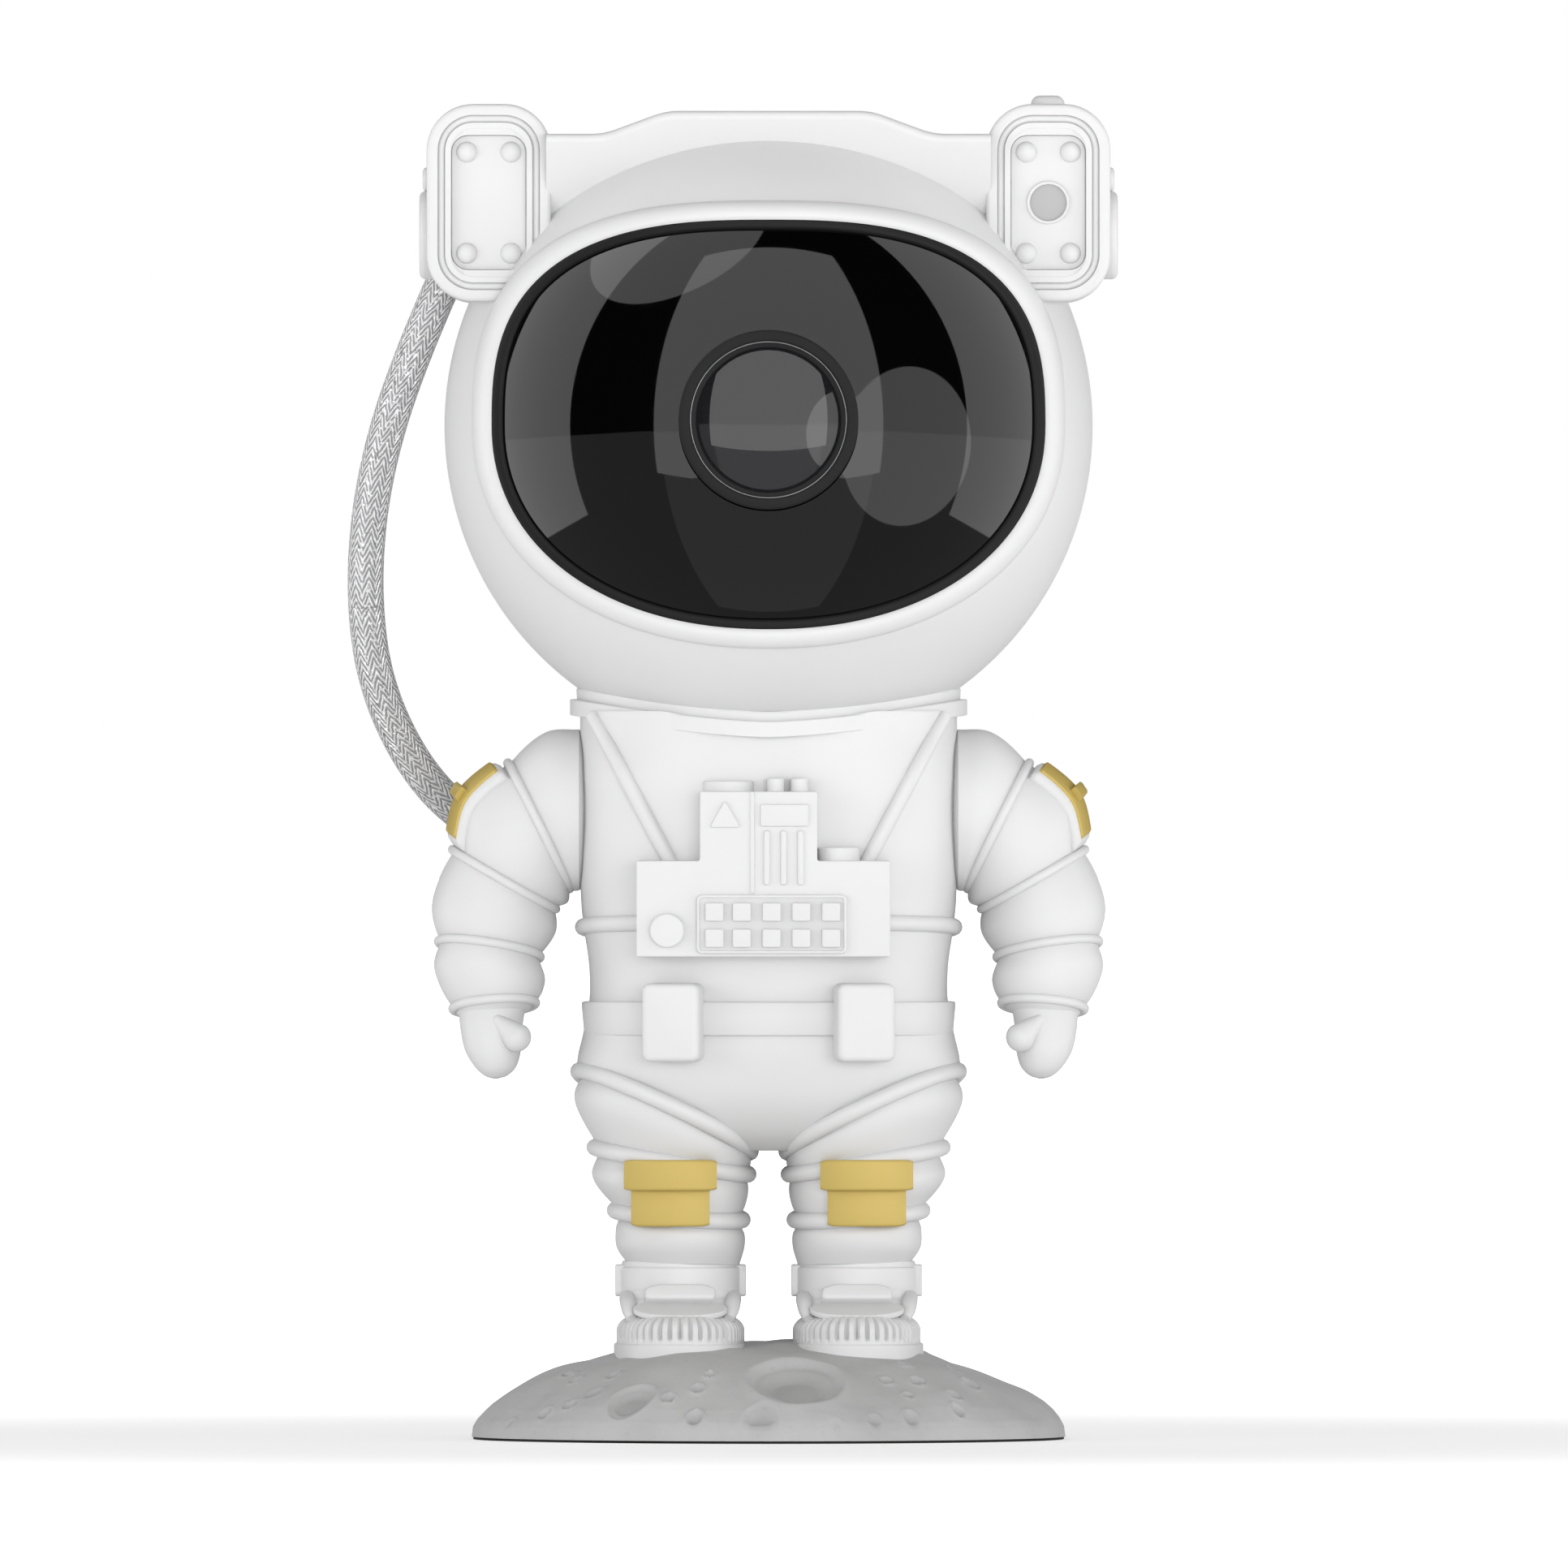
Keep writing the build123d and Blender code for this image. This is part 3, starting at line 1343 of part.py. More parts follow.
for key_name, key_x in keys.items():
    with BuildPart() as key:
        with BuildSketch(back_plane(key_flange_back, panel_z)):
            with Locations((key_x, 0)):
                Circle(key_radius)
        extrude(amount=key_flange_back - panel_face - 1.8)
        fillet(key.faces().sort_by(Axis.Y)[-1].edges(), 0.5)
        with BuildSketch(back_plane(key_flange_back, panel_z)):
            with Locations((key_x, 0)):
                Circle(key_radius + 0.8)
        extrude(amount=0.9)
    save(key.part, key_name)

switch_height = key_flange_back - 0.9 - key_travel - 0.4 - board_back
with BuildPart() as control_board:
    with BuildSketch(back_plane(board_back - board_thickness, head_z)):
        Circle(board_radius)
    extrude(amount=-board_thickness)
    with BuildSketch(back_plane(board_back, panel_z)):
        with GridLocations(key_pitch, 0, 3, 1):
            Rectangle(5.0, 5.0)
    extrude(amount=-switch_height)
save(control_board.part, "control_board")

usb_z = head_z - usb_drop
with BuildPart() as usb_socket:
    with BuildSketch(back_plane(board_back, usb_z)):
        RectangleRounded(usb_width, usb_height, 1.4)
    extrude(amount=-sqrt(head_radius ** 2 - usb_drop ** 2) + board_back + 0.8)
    with BuildSketch(back_plane(head_radius, usb_z)):
        RectangleRounded(usb_width - 1.4, usb_height - 1.4, 0.8)
        Rectangle(usb_width - 3.6, 0.5, mode=Mode.SUBTRACT)
    extrude(amount=head_radius - board_back - 2, mode=Mode.SUBTRACT)
save(usb_socket.part, "usb_socket")
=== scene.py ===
"""Dressed model of the planetarium projector: a standing figure whose round head projects.

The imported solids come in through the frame, which holds every place and every joint. This script
models the surfaces over them, in millimetres along the frame's own axes, and gives each its finish.
"left" and "right" are the viewer's, so left is -X, and the figure faces -Y.
"""
import logging
import math
from collections.abc import Sequence
from dataclasses import dataclass, field
from enum import Enum

import bmesh
import bpy
import numpy as np
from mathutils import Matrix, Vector


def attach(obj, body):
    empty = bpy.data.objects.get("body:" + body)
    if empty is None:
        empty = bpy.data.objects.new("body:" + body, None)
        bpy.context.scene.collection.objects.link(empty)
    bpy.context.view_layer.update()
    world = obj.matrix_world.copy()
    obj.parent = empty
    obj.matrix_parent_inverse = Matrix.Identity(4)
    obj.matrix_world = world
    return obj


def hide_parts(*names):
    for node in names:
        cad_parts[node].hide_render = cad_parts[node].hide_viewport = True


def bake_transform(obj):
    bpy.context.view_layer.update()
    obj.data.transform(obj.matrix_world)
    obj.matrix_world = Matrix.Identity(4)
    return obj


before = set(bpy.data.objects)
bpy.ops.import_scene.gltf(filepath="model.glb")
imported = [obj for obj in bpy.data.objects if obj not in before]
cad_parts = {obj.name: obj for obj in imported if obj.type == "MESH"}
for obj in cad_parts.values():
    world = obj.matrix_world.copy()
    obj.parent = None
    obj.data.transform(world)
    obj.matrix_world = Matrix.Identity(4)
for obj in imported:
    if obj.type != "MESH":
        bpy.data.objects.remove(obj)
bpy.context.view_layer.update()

MM = 0.001
LOG = logging.getLogger("projector")
Colour = tuple[float, float, float, float]
Point = tuple[float, float, float]
Profile = Sequence[tuple[float, float]]
MIX_FACTOR, MIX_FIRST, MIX_SECOND, MIX_RESULT = 0, 6, 7, 2


class Slot(Enum):
    """Material slots of the record."""

    WHITE = "white_plastic"
    MOON = "moon_grey"
    DARK = "dark_plastic"
    IRON = "cast_iron"
    SCREW = "screw_steel"
    RUBBER = "black_rubber"
    GOLD = "gold_trim"
    VISOR = "smoked_glass"
    LENS = "lens_glass"
    MAGNET = "magnet_nickel"
    CIRCUIT = "circuit_green"
    ALUMINIUM = "aluminium"
    BRASS = "brass"
    KEY = "key_grey"
    BRAID = "hose_braid"


class Side(Enum):
    """The viewer's left and right, as the sign of X."""

    LEFT = -1
    RIGHT = 1

    @property
    def word(self) -> str:
        """Lower-case name, as the nodes use it."""
        return self.name.lower()


# ---- shader expressions
class Signal:
    """A shader socket that Python expressions can work with."""

    def __init__(self, graph: "Graph", socket: bpy.types.NodeSocket) -> None:
        """Wrap one output socket of a graph."""
        self.graph = graph
        self.socket = socket

    def _math(self, operation: str, *terms: "Signal | float") -> "Signal":
        """Add one Math node on the given terms."""
        return self.graph.node("ShaderNodeMath", {"operation": operation}, terms)

    def __add__(self, other: "Signal | float") -> "Signal":
        """Sum."""
        return self._math("ADD", self, other)

    __radd__ = __add__

    def __sub__(self, other: "Signal | float") -> "Signal":
        """Difference."""
        return self._math("SUBTRACT", self, other)

    def __rsub__(self, other: "Signal | float") -> "Signal":
        """Difference from a plain number."""
        return self._math("SUBTRACT", other, self)

    def __mul__(self, other: "Signal | float") -> "Signal":
        """Product."""
        return self._math("MULTIPLY", self, other)

    __rmul__ = __mul__

    def sine(self) -> "Signal":
        """Sine of the value, in radians."""
        return self._math("SINE", self)

    def wrapped(self) -> "Signal":
        """Fractional part."""
        return self._math("FRACT", self)

    def folded(self) -> "Signal":
        """Triangle wave of period 2 and height 1."""
        return self._math("PINGPONG", self, 1.0)

    def step(self, low: float, high: float) -> "Signal":
        """Smooth step from 0 at low to 1 at high.

        Args:
            low: Value where the step starts.
            high: Value where the step ends.

        Returns:
            The stepped signal.
        """
        return self.graph.node("ShaderNodeMapRange", {"interpolation_type": "SMOOTHSTEP"},
                               {"Value": self, "From Min": low, "From Max": high})


class Graph:
    """Node tree of one material, built from expressions."""

    def __init__(self, name: str) -> None:
        """Start an empty material.

        Args:
            name: Its name.
        """
        self.material = bpy.data.materials.new(name)
        self.material.use_nodes = True
        self.tree = self.material.node_tree
        self.tree.nodes.clear()

    def node(self, kind: str, settings: dict | None = None,
             inputs: dict | Sequence | None = None, output: int | str = 0) -> Signal | None:
        """Add any node.

        Args:
            kind: The node's type.
            settings: Properties that are set before the sockets.
            inputs: Values or signals, by socket name or in order.
            output: The output socket to return.

        Returns:
            The chosen output as a signal, or nothing for a node with no outputs.
        """
        made = self.tree.nodes.new(kind)
        for key, value in (settings or {}).items():
            setattr(made, key, value)
        pairs = inputs.items() if isinstance(inputs, dict) else enumerate(inputs or ())
        for key, value in pairs:
            if isinstance(value, Signal):
                self.tree.links.new(value.socket, made.inputs[key])
            else:
                made.inputs[key].default_value = value
        return Signal(self, made.outputs[output]) if made.outputs else None

    def place(self) -> Signal:
        """Object coordinates, in metres."""
        return self.node("ShaderNodeTexCoord", output="Object")

    def noise(self, per_metre: float, detail: float = 2.0, roughness: float = 0.5) -> Signal:
        """Noise in object space with that many features to the metre."""
        return self.node("ShaderNodeTexNoise", {},
                         {"Vector": self.place(), "Scale": per_metre, "Detail": detail,
                          "Roughness": roughness})

    def edges(self) -> Signal:
        """Convexity: 0.5 on flat ground, more on edges, less in creases."""
        return self.node("ShaderNodeNewGeometry", output="Pointiness")

    def mix(self, share: "Signal | float", first: "Colour | Signal",
            second: "Colour | Signal") -> Signal:
        """Colour between two colours.

        Args:
            share: 0 for the first colour, 1 for the second.
            first: First colour.
            second: Second colour.

        Returns:
            The mixed colour.
        """
        return self.node("ShaderNodeMix", {"data_type": "RGBA"},
                         {MIX_FACTOR: share, MIX_FIRST: first, MIX_SECOND: second}, MIX_RESULT)

    def bump(self, height: Signal, depth_mm: float, strength: float = 1.0,
             under: Signal | None = None) -> Signal:
        """Bump from a height signal of 0 to 1.

        Args:
            height: The signal.
            depth_mm: Depth from 0 to 1.
            strength: Share of it that shows.
            under: A bump that lies under this one.

        Returns:
            The bumped normal.
        """
        inputs = {"Height": height, "Distance": depth_mm * MM, "Strength": strength}
        if under is not None:
            inputs["Normal"] = under
        return self.node("ShaderNodeBump", {}, inputs)

    def surface(self, **sockets: "Signal | float | Colour") -> bpy.types.Material:
        """Close the material with a Principled surface.

        Args:
            sockets: Values by socket name, with underscores for spaces.

        Returns:
            The finished material.
        """
        inputs = {key.replace("_", " "): value for key, value in sockets.items()}
        shader = self.node("ShaderNodeBsdfPrincipled", {}, inputs)
        self.node("ShaderNodeOutputMaterial", {}, {"Surface": shader})
        return self.material


def grey(level: float) -> Colour:
    """Neutral colour of a linear level."""
    return (level, level, level, 1.0)


# ---- finishes
@dataclass(frozen=True)
class Moulding:
    """Moulded or painted plastic with a fine eroded grain, painted shade in its creases and rubbed edges."""

    name: str
    colour: Colour
    # Colour of the painted shade in the creases.
    crease: Colour
    roughness: float = 0.42
    grain_mm: float = 0.25
    grain_depth_mm: float = 0.006
    metallic: float = 0.0
    shine: float = 0.5

    def build(self) -> bpy.types.Material:
        """Make the material.

        Returns:
            The material.
        """
        graph = Graph(self.name)
        drift = graph.noise(38.0, 3.0).step(0.3, 0.7)
        grain = graph.noise(1 / (self.grain_mm * MM), 2.0, 0.6)
        # Painted shade: creases, found by their pointiness, are mixed towards the crease colour and made
        # rougher.
        crease_shade_mask = 1 - graph.edges().step(0.40, 0.49)
        rubbed = graph.edges().step(0.53, 0.62)
        dulled = tuple(0.975 * part for part in self.colour[:3]) + (1.0,)
        tone = graph.mix(drift, self.colour, dulled)
        tone = graph.mix(crease_shade_mask * 0.55, tone, self.crease)
        gloss = self.roughness + drift * 0.05 + crease_shade_mask * 0.12 - rubbed * 0.06 + grain * 0.04
        return graph.surface(Base_Color=tone, Roughness=gloss, Metallic=self.metallic,
                             Specular_IOR_Level=self.shine,
                             Normal=graph.bump(grain, self.grain_depth_mm))


@dataclass(frozen=True)
class MoonDust:
    """Grey moulded regolith: mottled, finely pitted, with painted shade in the crater floors."""

    name: str
    high: Colour
    low: Colour

    def build(self) -> bpy.types.Material:
        """Make the material.

        Returns:
            The material.
        """
        graph = Graph(self.name)
        floor = graph.node("ShaderNodeAttribute", {"attribute_name": "crater"}, output="Fac")
        mottle = graph.noise(55.0, 5.0, 0.6).step(0.3, 0.75)
        specks = graph.noise(900.0, 2.0).step(0.62, 0.75)
        pits = graph.node("ShaderNodeTexVoronoi", {}, {"Vector": graph.place(), "Scale": 420.0})
        pits = pits.step(0.0, 0.28)
        grain = graph.noise(2600.0, 3.0, 0.7)
        tone = graph.mix(mottle * 0.5, self.high, self.low)
        # Painted shade: the crater floors are mixed towards the darker grey.
        tone = graph.mix(floor * 0.75, tone, self.low)
        tone = graph.mix(specks * 0.12, tone, grey(0.16))
        relief = graph.bump(grain, 0.05, 0.7, graph.bump(pits, 0.12, 0.35))
        return graph.surface(Base_Color=tone, Roughness=0.6 + mottle * 0.15, Normal=relief)


@dataclass(frozen=True)
class Metal:
    """Turned or brushed metal with fine scratches across the part."""

    name: str
    colour: Colour
    roughness: float = 0.3
    brushed: float = 0.1
    metallic: float = 0.7

    def build(self) -> bpy.types.Material:
        """Make the material.

        Returns:
            The material.
        """
        graph = Graph(self.name)
        stretched = graph.node("ShaderNodeMapping", {},
                               {"Vector": graph.place(), "Scale": (180.0, 2600.0, 2600.0)})
        lines = graph.node("ShaderNodeTexNoise", {},
                           {"Vector": stretched, "Scale": 1.0, "Detail": 3.0})
        stain = graph.noise(120.0, 3.0).step(0.3, 0.8)
        dull = tuple(0.8 * part for part in self.colour[:3]) + (1.0,)
        return graph.surface(Base_Color=graph.mix(stain * 0.4, self.colour, dull),
                             Metallic=self.metallic,
                             Roughness=self.roughness + lines * self.brushed + stain * 0.05,
                             Normal=graph.bump(lines, 0.01, 0.5))


@dataclass(frozen=True)
class Pane:
    """Tinted or clear glass with a trace of dust in its gloss."""

    name: str
    colour: Colour
    alpha: float
    roughness: float = 0.03
    coat: float = 0.0

    def build(self) -> bpy.types.Material:
        """Make the material.

        Returns:
            The material.
        """
        graph = Graph(self.name)
        dust = graph.noise(260.0, 4.0).step(0.45, 0.8)
        return graph.surface(Base_Color=self.colour, Roughness=self.roughness + dust * 0.02,
                             Alpha=self.alpha, IOR=1.49, Coat_Weight=self.coat)


@dataclass(frozen=True)
class Braid:
    """Woven silvery sleeve: two sets of bright strands cross over and under, by UV."""

    name: str = "silver_braid"
    dark: Colour = (0.27, 0.27, 0.275, 1.0)
    bright: Colour = (0.74, 0.74, 0.75, 1.0)
    lean: float = 1.7
    unevenness: float = 0.9
    crowning: float = 0.45
    depth_mm: float = 0.4

    def build(self) -> bpy.types.Material:
        """Make the material; U runs along the sleeve in picks and V goes round it in strands.

        Returns:
            The material.
        """
        graph = Graph(self.name)
        along = graph.node("ShaderNodeSeparateXYZ", {}, [graph.node("ShaderNodeUVMap")])
        around = Signal(graph, along.socket.node.outputs[1])
        wobble = graph.noise(700.0, 2.0) - 0.5
        leaning = (around * 2.0).wrapped()
        zig = (leaning * 2.0).folded()
        slant = along + zig * self.lean + wobble * self.unevenness
        yarn = (slant * 2.0 * math.pi).sine() * 0.5 + 0.5
        column = ((around * 4.0).wrapped() - 0.5) * 2.0
        crown = 1 - column * column * self.crowning
        fibre = graph.noise(5200.0, 2.0, 0.7)
        height = yarn * crown * 0.8 + fibre * 0.2
        # Painted highlights: white specks in the colour, with lower roughness, stand in for light caught by
        # the strands.
        painted_glint = graph.noise(1300.0, 1.0).step(0.60, 0.68)
        shade = graph.noise(1000.0, 1.0).step(0.64, 0.74)
        tone = graph.mix(yarn.step(0.0, 0.7), self.dark, self.bright)
        tone = graph.mix(shade * 0.6, tone, grey(0.12))
        tone = graph.mix(painted_glint * 0.8, tone, grey(1.0))
        return graph.surface(Base_Color=tone, Metallic=0.35, Roughness=0.42 - painted_glint * 0.2,
                             Normal=graph.bump(height, self.depth_mm, 0.9))


@dataclass(frozen=True)
class CircuitLaminate:
    """Green solder mask with faint copper traces and pads."""

    name: str = "circuit_laminate"
    mask: Colour = (0.02, 0.16, 0.06, 1.0)
    trace: Colour = (0.05, 0.30, 0.12, 1.0)

    def build(self) -> bpy.types.Material:
        """Make the material.

        Returns:
            The material.
        """
        graph = Graph(self.name)
        cells = graph.node("ShaderNodeTexVoronoi", {"distance": "CHEBYCHEV"},
                           {"Vector": graph.place(), "Scale": 300.0})
        traces = cells.step(0.42, 0.46)
        tone = graph.mix(traces * 0.6, self.mask, self.trace)
        return graph.surface(Base_Color=tone, Roughness=0.35 + traces * 0.1,
                             Normal=graph.bump(traces, 0.03))


# In each moulding the second colour is painted shade, laid into the creases.
WHITE = Moulding("satin_white_shell", (0.60, 0.60, 0.603, 1.0), (0.30, 0.30, 0.305, 1.0), 0.46)
FINISHES = {
    Slot.WHITE: WHITE,
    Slot.MOON: MoonDust("moon_regolith", grey(0.40), grey(0.29)),
    Slot.DARK: Moulding("matt_black_moulding", grey(0.012), grey(0.006), 0.5, shine=0.12),
    Slot.IRON: Moulding("cast_iron", grey(0.06), grey(0.03), 0.7, 0.9, 0.12, 0.6),
    Slot.SCREW: Metal("zinc_screw", (0.62, 0.63, 0.65, 1.0)),
    Slot.RUBBER: Moulding("black_rubber", grey(0.008), grey(0.004), 0.42, 0.5, 0.01, 0.0, 0.15),
    Slot.GOLD: Moulding("satin_gold_paint", (0.46, 0.34, 0.085, 1.0), (0.20, 0.13, 0.03, 1.0),
                        0.40, 0.18, 0.006, 0.1),
    Slot.VISOR: Pane("smoked_visor", (0.001, 0.001, 0.0012, 1.0), 0.975),
    Slot.LENS: Pane("lens_glass", (0.01, 0.01, 0.012, 1.0), 0.85, 0.02, 0.6),
    Slot.MAGNET: Metal("nickel_magnet", (0.75, 0.75, 0.74, 1.0), 0.2),
    Slot.CIRCUIT: CircuitLaminate(),
    Slot.ALUMINIUM: Metal("blasted_aluminium", (0.75, 0.76, 0.78, 1.0), 0.42),
    Slot.BRASS: Metal("turned_brass", (0.75, 0.58, 0.25, 1.0), 0.25),
    Slot.KEY: Moulding("soft_grey_key", grey(0.36), grey(0.22), 0.5),
    Slot.BRAID: Braid(),
}


# ---- shapes
def unit(vector: np.ndarray) -> np.ndarray:
    """Vectors of length 1 along the last axis."""
    return vector / np.maximum(np.linalg.norm(vector, axis=-1, keepdims=True), 1e-12)


def lap(steps: int) -> np.ndarray:
    """Angles of evenly spaced points round a loop."""
    return np.linspace(0, 2 * math.pi, steps, endpoint=False)


def squared(turns: np.ndarray, power: float) -> tuple[np.ndarray, np.ndarray]:
    """Cosine and sine raised to a power, each with its sign kept."""
    c, s = np.cos(turns), np.sin(turns)
    return np.sign(c) * np.abs(c) ** power, np.sign(s) * np.abs(s) ** power


def eased(stations: np.ndarray, places: np.ndarray) -> np.ndarray:
    """Smooth curve through rows of numbers.

    Args:
        stations: One row for each whole place.
        places: Places to read, from 0 to the number of rows less one.

    Returns:
        One row for each place, on a Catmull-Rom curve.
    """
    first, last = 2 * stations[0] - stations[1], 2 * stations[-1] - stations[-2]
    padded = np.vstack([first, stations, last])
    cell = np.clip(np.floor(places).astype(int), 0, len(stations) - 2)
    share = (places - cell)[:, None]
    a, b, c, d = (padded[cell + step] for step in range(4))
    return 0.5 * (2 * b + (c - a) * share + (2 * a - 5 * b + 4 * c - d) * share ** 2
                  + (3 * b - a - 3 * c + d) * share ** 3)


def rounded(corners: Sequence[tuple[float, float]], radius: float, steps: int = 5) -> np.ndarray:
    """Closed outline with each corner of a polygon turned into an arc.

    Args:
        corners: The polygon, anticlockwise.
        radius: Radius of each arc, limited by the sides.
        steps: Points on each arc, less one.

    Returns:
        The outline's points.
    """
    points = []
    polygon = [np.array(corner, float) for corner in corners]
    for index, corner in enumerate(polygon):
        before, after = polygon[index - 1], polygon[(index + 1) % len(polygon)]
        back, on = unit(before - corner), unit(after - corner)
        half = 0.5 * math.acos(float(np.clip(back @ on, -1, 1)))
        room = 0.49 * min(np.linalg.norm(before - corner), np.linalg.norm(after - corner))
        reach = min(radius / math.tan(half), room)
        centre = corner + unit(back + on) * reach / math.cos(half)
        start, end = corner + back * reach - centre, corner + on * reach - centre
        turn = math.atan2(start[0] * end[1] - start[1] * end[0], start @ end)
        for share in np.linspace(0, 1, steps + 1):
            c, s = math.cos(turn * share), math.sin(turn * share)
            points.append(centre + np.array([c * start[0] - s * start[1],
                                             s * start[0] + c * start[1]]))
    return np.array(points)


def oblong(width: float, height: float, radius: float, centre: tuple[float, float] = (0, 0),
           steps: int = 6) -> np.ndarray:
    """Rounded rectangle about a centre.

    Args:
        width: Its size across.
        height: Its size upwards.
        radius: Radius of its corners.
        centre: Its middle.
        steps: Points on each corner, less one.

    Returns:
        The outline.
    """
    x, y = width / 2, height / 2
    corners = [(-x, -y), (x, -y), (x, y), (-x, y)]
    return rounded(corners, radius, steps) + np.array(centre)


def disc(radius: float, centre: tuple[float, float] = (0, 0), steps: int = 40) -> np.ndarray:
    """Circle about a centre."""
    turn = lap(steps)
    return np.stack([np.cos(turn), np.sin(turn)], 1) * radius + np.array(centre)


def inset(outline: np.ndarray, distance: float) -> np.ndarray:
    """Move an outline inwards.

    Args:
        outline: The outline, anticlockwise.
        distance: How far it moves.

    Returns:
        The new outline.
    """
    back = unit(outline - np.roll(outline, 1, 0))
    on = unit(np.roll(outline, -1, 0) - outline)
    out = unit(np.stack([back[:, 1] + on[:, 1], -back[:, 0] - on[:, 0]], 1))
    spread = np.maximum(out[:, 0] * on[:, 1] - out[:, 1] * on[:, 0], 0.35)
    return outline - out * (distance / spread)[:, None]


@dataclass(frozen=True)
class Bed:
    """Flat place on which a plate or a knob stands: origin, across, up; it faces across x up."""

    origin: Point
    across: Point = (1.0, 0.0, 0.0)
    up: Point = (0.0, 0.0, 1.0)

    def lift(self, outline: np.ndarray, height: float | np.ndarray) -> np.ndarray:
        """Place an outline on the bed.

        Args:
            outline: Points across and up.
            height: Height off the bed, one or one for each point.

        Returns:
            The points in space.
        """
        across, up = np.array(self.across), np.array(self.up)
        out = np.cross(across, up)
        rise = np.broadcast_to(np.asarray(height, float), len(outline))
        return (np.array(self.origin) + outline[:, :1] * across + outline[:, 1:] * up
                + rise[:, None] * out)


FRONT = Bed((0.0, 0.0, 0.0))
GROUND = Bed((0.0, 0.0, 0.0), (1.0, 0.0, 0.0), (0.0, 1.0, 0.0))


class Workpiece:
    """Mesh in the making, in millimetres."""

    def __init__(self) -> None:
        """Start empty."""
        self.points: list[np.ndarray] = []
        self.faces: list[tuple[int, ...]] = []
        self.count = 0
        self.marks: dict[str, np.ndarray] = {}

    def add(self, points: np.ndarray, faces: list[tuple[int, ...]]) -> None:
        """Add points and the faces between them.

        Args:
            points: The points.
            faces: Corners of each face, counted from the first new point.
        """
        self.points.append(np.asarray(points, float))
        self.faces += [tuple(corner + self.count for corner in face) for face in faces]
        self.count += len(points)

    def skin(self, rows: Sequence[np.ndarray], rejoin: bool = False) -> None:
        """Skin over rows of points, each row a closed loop.

        Args:
            rows: Rows with the same number of points.
            rejoin: Whether the last row joins the first; otherwise both get a cap.
        """
        grid = np.array(rows)
        many, wide = grid.shape[:2]
        faces = [(i * wide + j, i * wide + (j + 1) % wide, (i + 1) % many * wide + (j + 1) % wide,
                  (i + 1) % many * wide + j)
                 for i in range(many if rejoin else many - 1) for j in range(wide)]
        if not rejoin:
            faces.append(tuple(reversed(range(wide))))
            faces.append(tuple(range((many - 1) * wide, many * wide)))
        self.add(grid.reshape(-1, 3), faces)

    def slab(self, outline: np.ndarray, bed: Bed, low: float, high: float, edge: float = 0.3,
             steps: int = 4, under: bool = False) -> None:
        """Plate on a bed with a rounded rim.

        Args:
            outline: Anticlockwise outline on the bed.
            bed: Where it stands.
            low: Height of its underside.
            high: Height of its face.
            edge: Radius of the rim.
            steps: Points round the rim.
            under: Whether the underside's rim is rounded too.
        """
        rows = []
        turns = np.linspace(0, math.pi / 2, steps + 1)
        if under:
            rows += [bed.lift(inset(outline, edge * (1 - math.sin(turn))),
                              low + edge * (1 - math.cos(turn))) for turn in turns]
        else:
            rows.append(bed.lift(outline, low))
        rows += [bed.lift(inset(outline, edge * (1 - math.cos(turn))),
                          high - edge * (1 - math.sin(turn))) for turn in turns]
        self.skin(rows)

    def tube(self, path: np.ndarray, radius: float | np.ndarray, sides: int = 14,
             closed: bool = False) -> None:
        """Round tube along a path.

        Args:
            path: Points along the middle.
            radius: One radius, or one for each point.
            sides: Points round the tube.
            closed: Whether the path is a loop.
        """
        ahead = np.roll(path, -1, 0) if closed else np.vstack([path[1:], path[-1:]])
        behind = np.roll(path, 1, 0) if closed else np.vstack([path[:1], path[:-1]])
        along = unit(ahead - behind)
        side = unit(np.cross(along[0], [0.31, 0.87, 0.38]))
        radii = np.broadcast_to(np.asarray(radius, float), len(path))
        turn = lap(sides)
        rows = []
        for place, heading, reach in zip(path, along, radii):
            side = unit(side - heading * (side @ heading))
            other = np.cross(heading, side)
            rows.append(place + reach * (np.cos(turn)[:, None] * side
                                         + np.sin(turn)[:, None] * other))
        self.skin(rows, closed)

    def capsule(self, start: Point, end: Point, small: float, large: float) -> None:
        """Drop shape between two balls.

        Args:
            start: Middle of the small ball.
            end: Middle of the large ball.
            small: Radius of the small ball.
            large: Radius of the large ball.
        """
        first, last = np.array(start, float), np.array(end, float)
        heading = unit(last - first)
        span = np.linalg.norm(last - first)
        caps = np.linspace(0.02, math.pi / 2, 9)
        places = [-small * math.cos(turn) for turn in caps]
        places += list(np.linspace(0, span, 12)[1:-1])
        places += [span + large * math.sin(turn - 0.02) for turn in caps]
        radii = [small * math.sin(turn) for turn in caps]
        radii += list(np.linspace(small, large, 12)[1:-1])
        radii += [large * math.cos(turn - 0.02) for turn in caps]
        self.tube(first + np.outer(places, heading), np.array(radii), 28)


